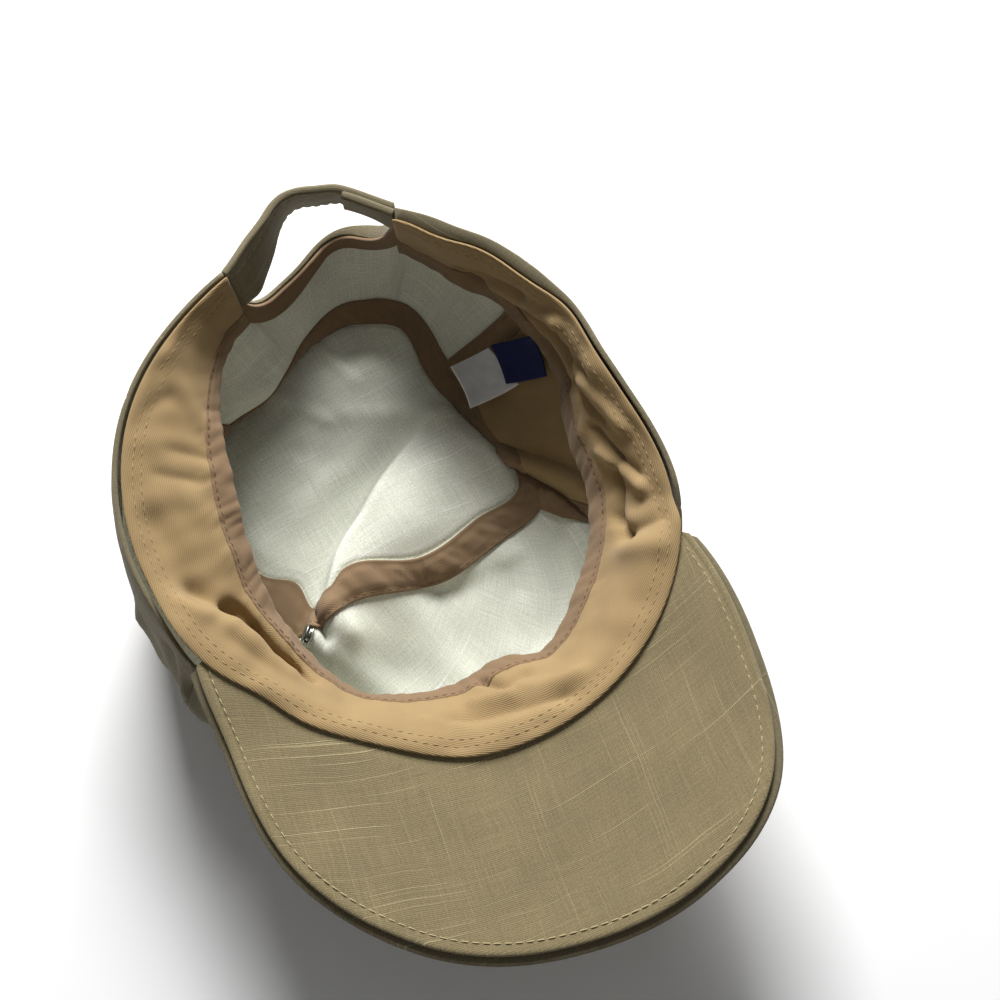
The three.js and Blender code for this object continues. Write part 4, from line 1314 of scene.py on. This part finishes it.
def lay_stitches(name, lines):
    """Rows of single stitches, each a short round thread that dips into the cloth at both ends."""
    thread, length, gap, radius = STITCHES[name]
    turns = np.linspace(0, 2 * math.pi, 6, endpoint=False)
    verts, faces, places, count = [], [], [], 0
    for p, n in lines:
        done = np.concatenate([[0], np.cumsum(np.linalg.norm(np.diff(p, axis=0), axis=1))])
        starts = np.arange(0.3, done[-1] - length, length + gap)
        at = starts[:, None] + STITCH_STATIONS * length
        line, up = (np.stack([np.interp(at, done, q[:, k]) for k in range(3)], axis=-1) for q in (p, n))
        up = unit(up)
        beside = np.cross(up, unit(np.gradient(line, axis=1)))
        centre = line + up * STITCH_HEIGHTS[:, None]
        across, over = (radius * share[:, None] for share in (np.cos(turns), np.sin(turns)))
        ring = centre[:, :, None] + across * beside[:, :, None] + over * up[:, :, None]
        place = np.stack(np.broadcast_arrays(at[:, :, None], turns * radius, 0.0), axis=-1)
        ids = count + np.arange(place[..., 0].size).reshape(place.shape[:-1])
        near, far = ids[:, :-1], ids[:, 1:]
        quads = np.stack([near, far, np.roll(far, -1, axis=2), np.roll(near, -1, axis=2)], axis=-1)
        verts.append(ring.reshape(-1, 3))
        places.append(place.reshape(-1, 3))
        faces.append(quads.reshape(-1, 4))
        count += ids.size
    make_piece(name, *(np.concatenate(rows) for rows in (verts, faces, places)), [thread])


def line_on(surface, angle, share, height):
    """A line over a surface at a height above it, with the way the cloth faces there."""
    n = normal_at(surface, angle, share, 0.2, 0.004)
    return surface(angle, share) + n * height, n * np.sign(height)


def stitch_sweatband():
    angles = BAND_ANGLES[3:-3]
    shares = [share_along(band_point, angles, row) for row in BAND_ROWS]
    height = BAND_CLOTH / 2 - 0.12
    lay_stitches("stitches_sweatband", [line_on(soft_band, angles, share, height) for share in shares])
    share = np.full_like(angles, 1 - BINDING_SHARE + 0.045)
    lay_stitches("stitches_binding", [line_on(soft_band, angles, share, BINDING_CLOTH / 2 - 0.25)])


def stitch_tapes():
    height = TAPE_OUTER - 0.16
    angles = np.arange(0, 360.1, 0.9)
    lines = []
    for length in (TAPE_START + TAPE_WIDTH - TAPE_ROW, TAPE_START + TAPE_ROW):
        lines.append(line_on(soft_wall, angles, share_along_wall(angles, length, True), height))
    for seam in SEAMS:
        angle, share, half = seam_tape_places(seam)
        for side in (-0.71, 0.71):
            lines.append(line_on(soft_wall, angle + side * half, share, height + SEAM_RISE))
    lay_stitches("stitches_tapes", lines)


def stitch_peak():
    edge = peak_point(peak_angles()[4:-4], 1.0)[:, :2]
    run = unit(np.gradient(edge, axis=0))
    inward = np.stack([-run[:, 1], run[:, 0]], axis=1)
    off = edge + inward * PEAK_ROW - RIM_CENTRE
    angle = np.degrees(np.arctan2(off[:, 0], -off[:, 1]))
    radial = np.linalg.norm(off, axis=1) - wall["rim_radius"](angle)
    share = (radial + PEAK_TUCK) / (peak["reach"](angle) + PEAK_TUCK)
    seen = share > 0.3
    height = -(GAP / 2 + PEAK_UNDER_CLOTH) + 0.12
    lay_stitches("stitches_peak", [line_on(soft_peak, angle[seen], share[seen], height)])


def stitch_strap():
    angles = np.linspace(OVERLAP["long_end"] + 1.5, STRAP["left"] - 1, 120)
    outer, inner = (row / STRAP_WIDTH for row in STRAP_ROWS)
    height = STRAP_CLOTH / 2 - 0.05
    lines = []
    for share in (outer, inner, 1 - outer):
        for face in (-1, 1):
            lines.append(line_on(soft_strap, angles, np.full_like(angles, share), face * height))
    lay_stitches("stitches_strap", lines)


EYELET = {"at": -34.5, "from_top": 13.8, "hole": 2.6}


def eyelet_place():
    share = share_along_wall(EYELET["at"], EYELET["from_top"], True)
    at = np.array([EYELET["at"]])
    return soft_wall(at, share)[0], normal_at(soft_wall, at, share, 1.5, 0.02)[0]


def set_eyelet(name):
    """A rolled metal ring through the wall, on both its faces."""
    centre, n = eyelet_place()
    side = unit(np.cross(n, [0.0, 0.0, 1.0]))
    other = np.cross(n, side)
    face = CROWN_CLOTH / 2
    roll = [(1.7, 0.2), (2.0, 0.75), (2.8, 0.85), (3.5, 0.55), (3.8, 0.05), (3.4, 0), (2.2, 0)]
    lower = [(r, -face - h) for r, h in roll]
    upper = [(r, face + h) for r, h in reversed(roll)]
    profile = [*lower, *upper, (1.6, 0)]
    turns = np.linspace(0, 2 * math.pi, 40, endpoint=False)
    spokes = [math.cos(a) * side + math.sin(a) * other for a in turns]
    ring = np.array([[centre + spoke * r + n * h for r, h in profile] for spoke in spokes])
    ids = np.arange(ring[..., 0].size).reshape(len(turns), len(profile))
    next_turn, next_row = np.roll(ids, -1, axis=0), np.roll(ids, -1, axis=1)
    faces = np.stack([ids, next_turn, np.roll(next_turn, -1, axis=1), next_row], axis=-1).reshape(-1, 4)
    places = np.stack(np.broadcast_arrays(turns[:, None] * 3, [[h for _, h in profile]], 0.0), axis=-1)
    ring_piece = make_piece(f"rolled_{name}", ring.reshape(-1, 3), faces, places.reshape(-1, 3), [nickel])
    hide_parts(name)


sew_wall_panel("crown_front", "front_left", "front_right", (eyelet_place()[0], EYELET["hole"]))
sew_wall_panel("crown_side_right", "front_right", "back_right")
sew_wall_panel("crown_back", "back_right", "back_left")
sew_wall_panel("crown_side_left", "back_left", "front_left")
sew_crown_top()
sew_top_tape()
for seam in SEAMS:
    sew_seam_tape(f"tape_{seam}", seam)
sew_side_lining()
sew_sweatband()
sew_band_binding()
sew_arch_binding()
sew_strap("strap", soft_strap, STRAP["left"], OVERLAP["long_end"], shaded_outer_canvas)
sew_strap("strap_under", strap_point, OVERLAP["under_end"], STRAP["right"], shaded_outer_canvas)
sew_peak("peak_under", -GAP / 2 - PEAK_UNDER_CLOTH, -GAP / 2, 0.0, -1, olive_canvas)
sew_peak("peak_upper", GAP / 2, GAP / 2 + PEAK_UPPER_CLOTH, 2.6, 1, shaded_outer_canvas)
for name, label in LABELS.items():
    sew_label(name, **label)
set_eyelet("eyelet_left")
stitch_sweatband()
stitch_tapes()
stitch_peak()
stitch_strap()


def lay_floor(size=3.0):
    mesh = bpy.data.meshes.new("floor")
    corners = [(-size, -size, 0), (size, -size, 0), (size, size, 0), (-size, size, 0)]
    mesh.from_pydata(corners, [], [(0, 1, 2, 3)])
    floor = bpy.data.objects.new("floor", mesh)
    material = bpy.data.materials.new("pale_floor")
    material.use_nodes = True
    tree = material.node_tree
    speckle = noise(tree, add_node(tree, "ShaderNodeTexCoord").outputs["Object"], 30.0)
    colour = tint(tree, speckle, (0.93, 0.93, 0.93), (0.96, 0.96, 0.96))
    values = {"Base Color": colour, "Roughness": 0.95, "Specular IOR Level": 0.1}
    feed_all(tree, tree.nodes["Principled BSDF"].inputs, values)
    lay_out(tree)
    mesh.materials.append(material)
    bpy.context.collection.objects.link(floor)


# Area lights, in metres and watts, the place that they point at, and the light from all round.
LIGHTS = {
    "window": {"place": (0.27, 1.02, 0.76), "size": (0.6, 0.5), "watts": 35},
    "front_fill": {"place": (-0.5, -0.9, 1.1), "size": (0.8, 0.8), "watts": 0.6},
}
LIT_PLACE = (0, 0, 0.03)
WORLD_LIGHT = 0.14
# The camera: degrees, metres, and its target in mm on the cap.
CAMERA = {"azimuth": -20, "elevation": 70, "distance": 0.5, "target": (33.0, -2.0, 40.0)}
LENS = {"sensor_width": 36, "lens": 54, "clip_start": 0.01}


def hang_light(name, place, size, watts):
    lamp = bpy.data.lights.new(name, "AREA")
    lamp.shape = "RECTANGLE"
    lamp.size, lamp.size_y = size
    lamp.energy = watts
    light = bpy.data.objects.new(name, lamp)
    light.location = place
    light.rotation_euler = (Vector(LIT_PLACE) - Vector(place)).to_track_quat("-Z", "Y").to_euler()
    bpy.context.collection.objects.link(light)


def set_camera():
    azimuth, elevation = math.radians(CAMERA["azimuth"]), math.radians(CAMERA["elevation"])
    level = math.cos(elevation)
    back = np.array([math.sin(azimuth) * level, -math.cos(azimuth) * level, math.sin(elevation)])
    target = (np.array(CAMERA["target"]) + CAP_SHIFT) * TO_METRES
    camera = bpy.data.objects.new("camera", bpy.data.cameras.new("camera"))
    camera.location = target + back * CAMERA["distance"]
    camera.rotation_euler = (math.pi / 2 - elevation, 0, azimuth)
    for key, value in LENS.items():
        setattr(camera.data, key, value)
    bpy.context.collection.objects.link(camera)
    bpy.context.scene.camera = camera


def set_studio():
    lay_floor()
    world = bpy.data.worlds.new("studio")
    world.use_nodes = True
    background = world.node_tree.nodes["Background"].inputs
    background["Color"].default_value = (1, 1, 1, 1)
    background["Strength"].default_value = WORLD_LIGHT
    bpy.context.scene.world = world
    for name, light in LIGHTS.items():
        hang_light(name, **light)
    bpy.context.scene.view_settings.view_transform = "Standard"
    set_camera()


set_studio()
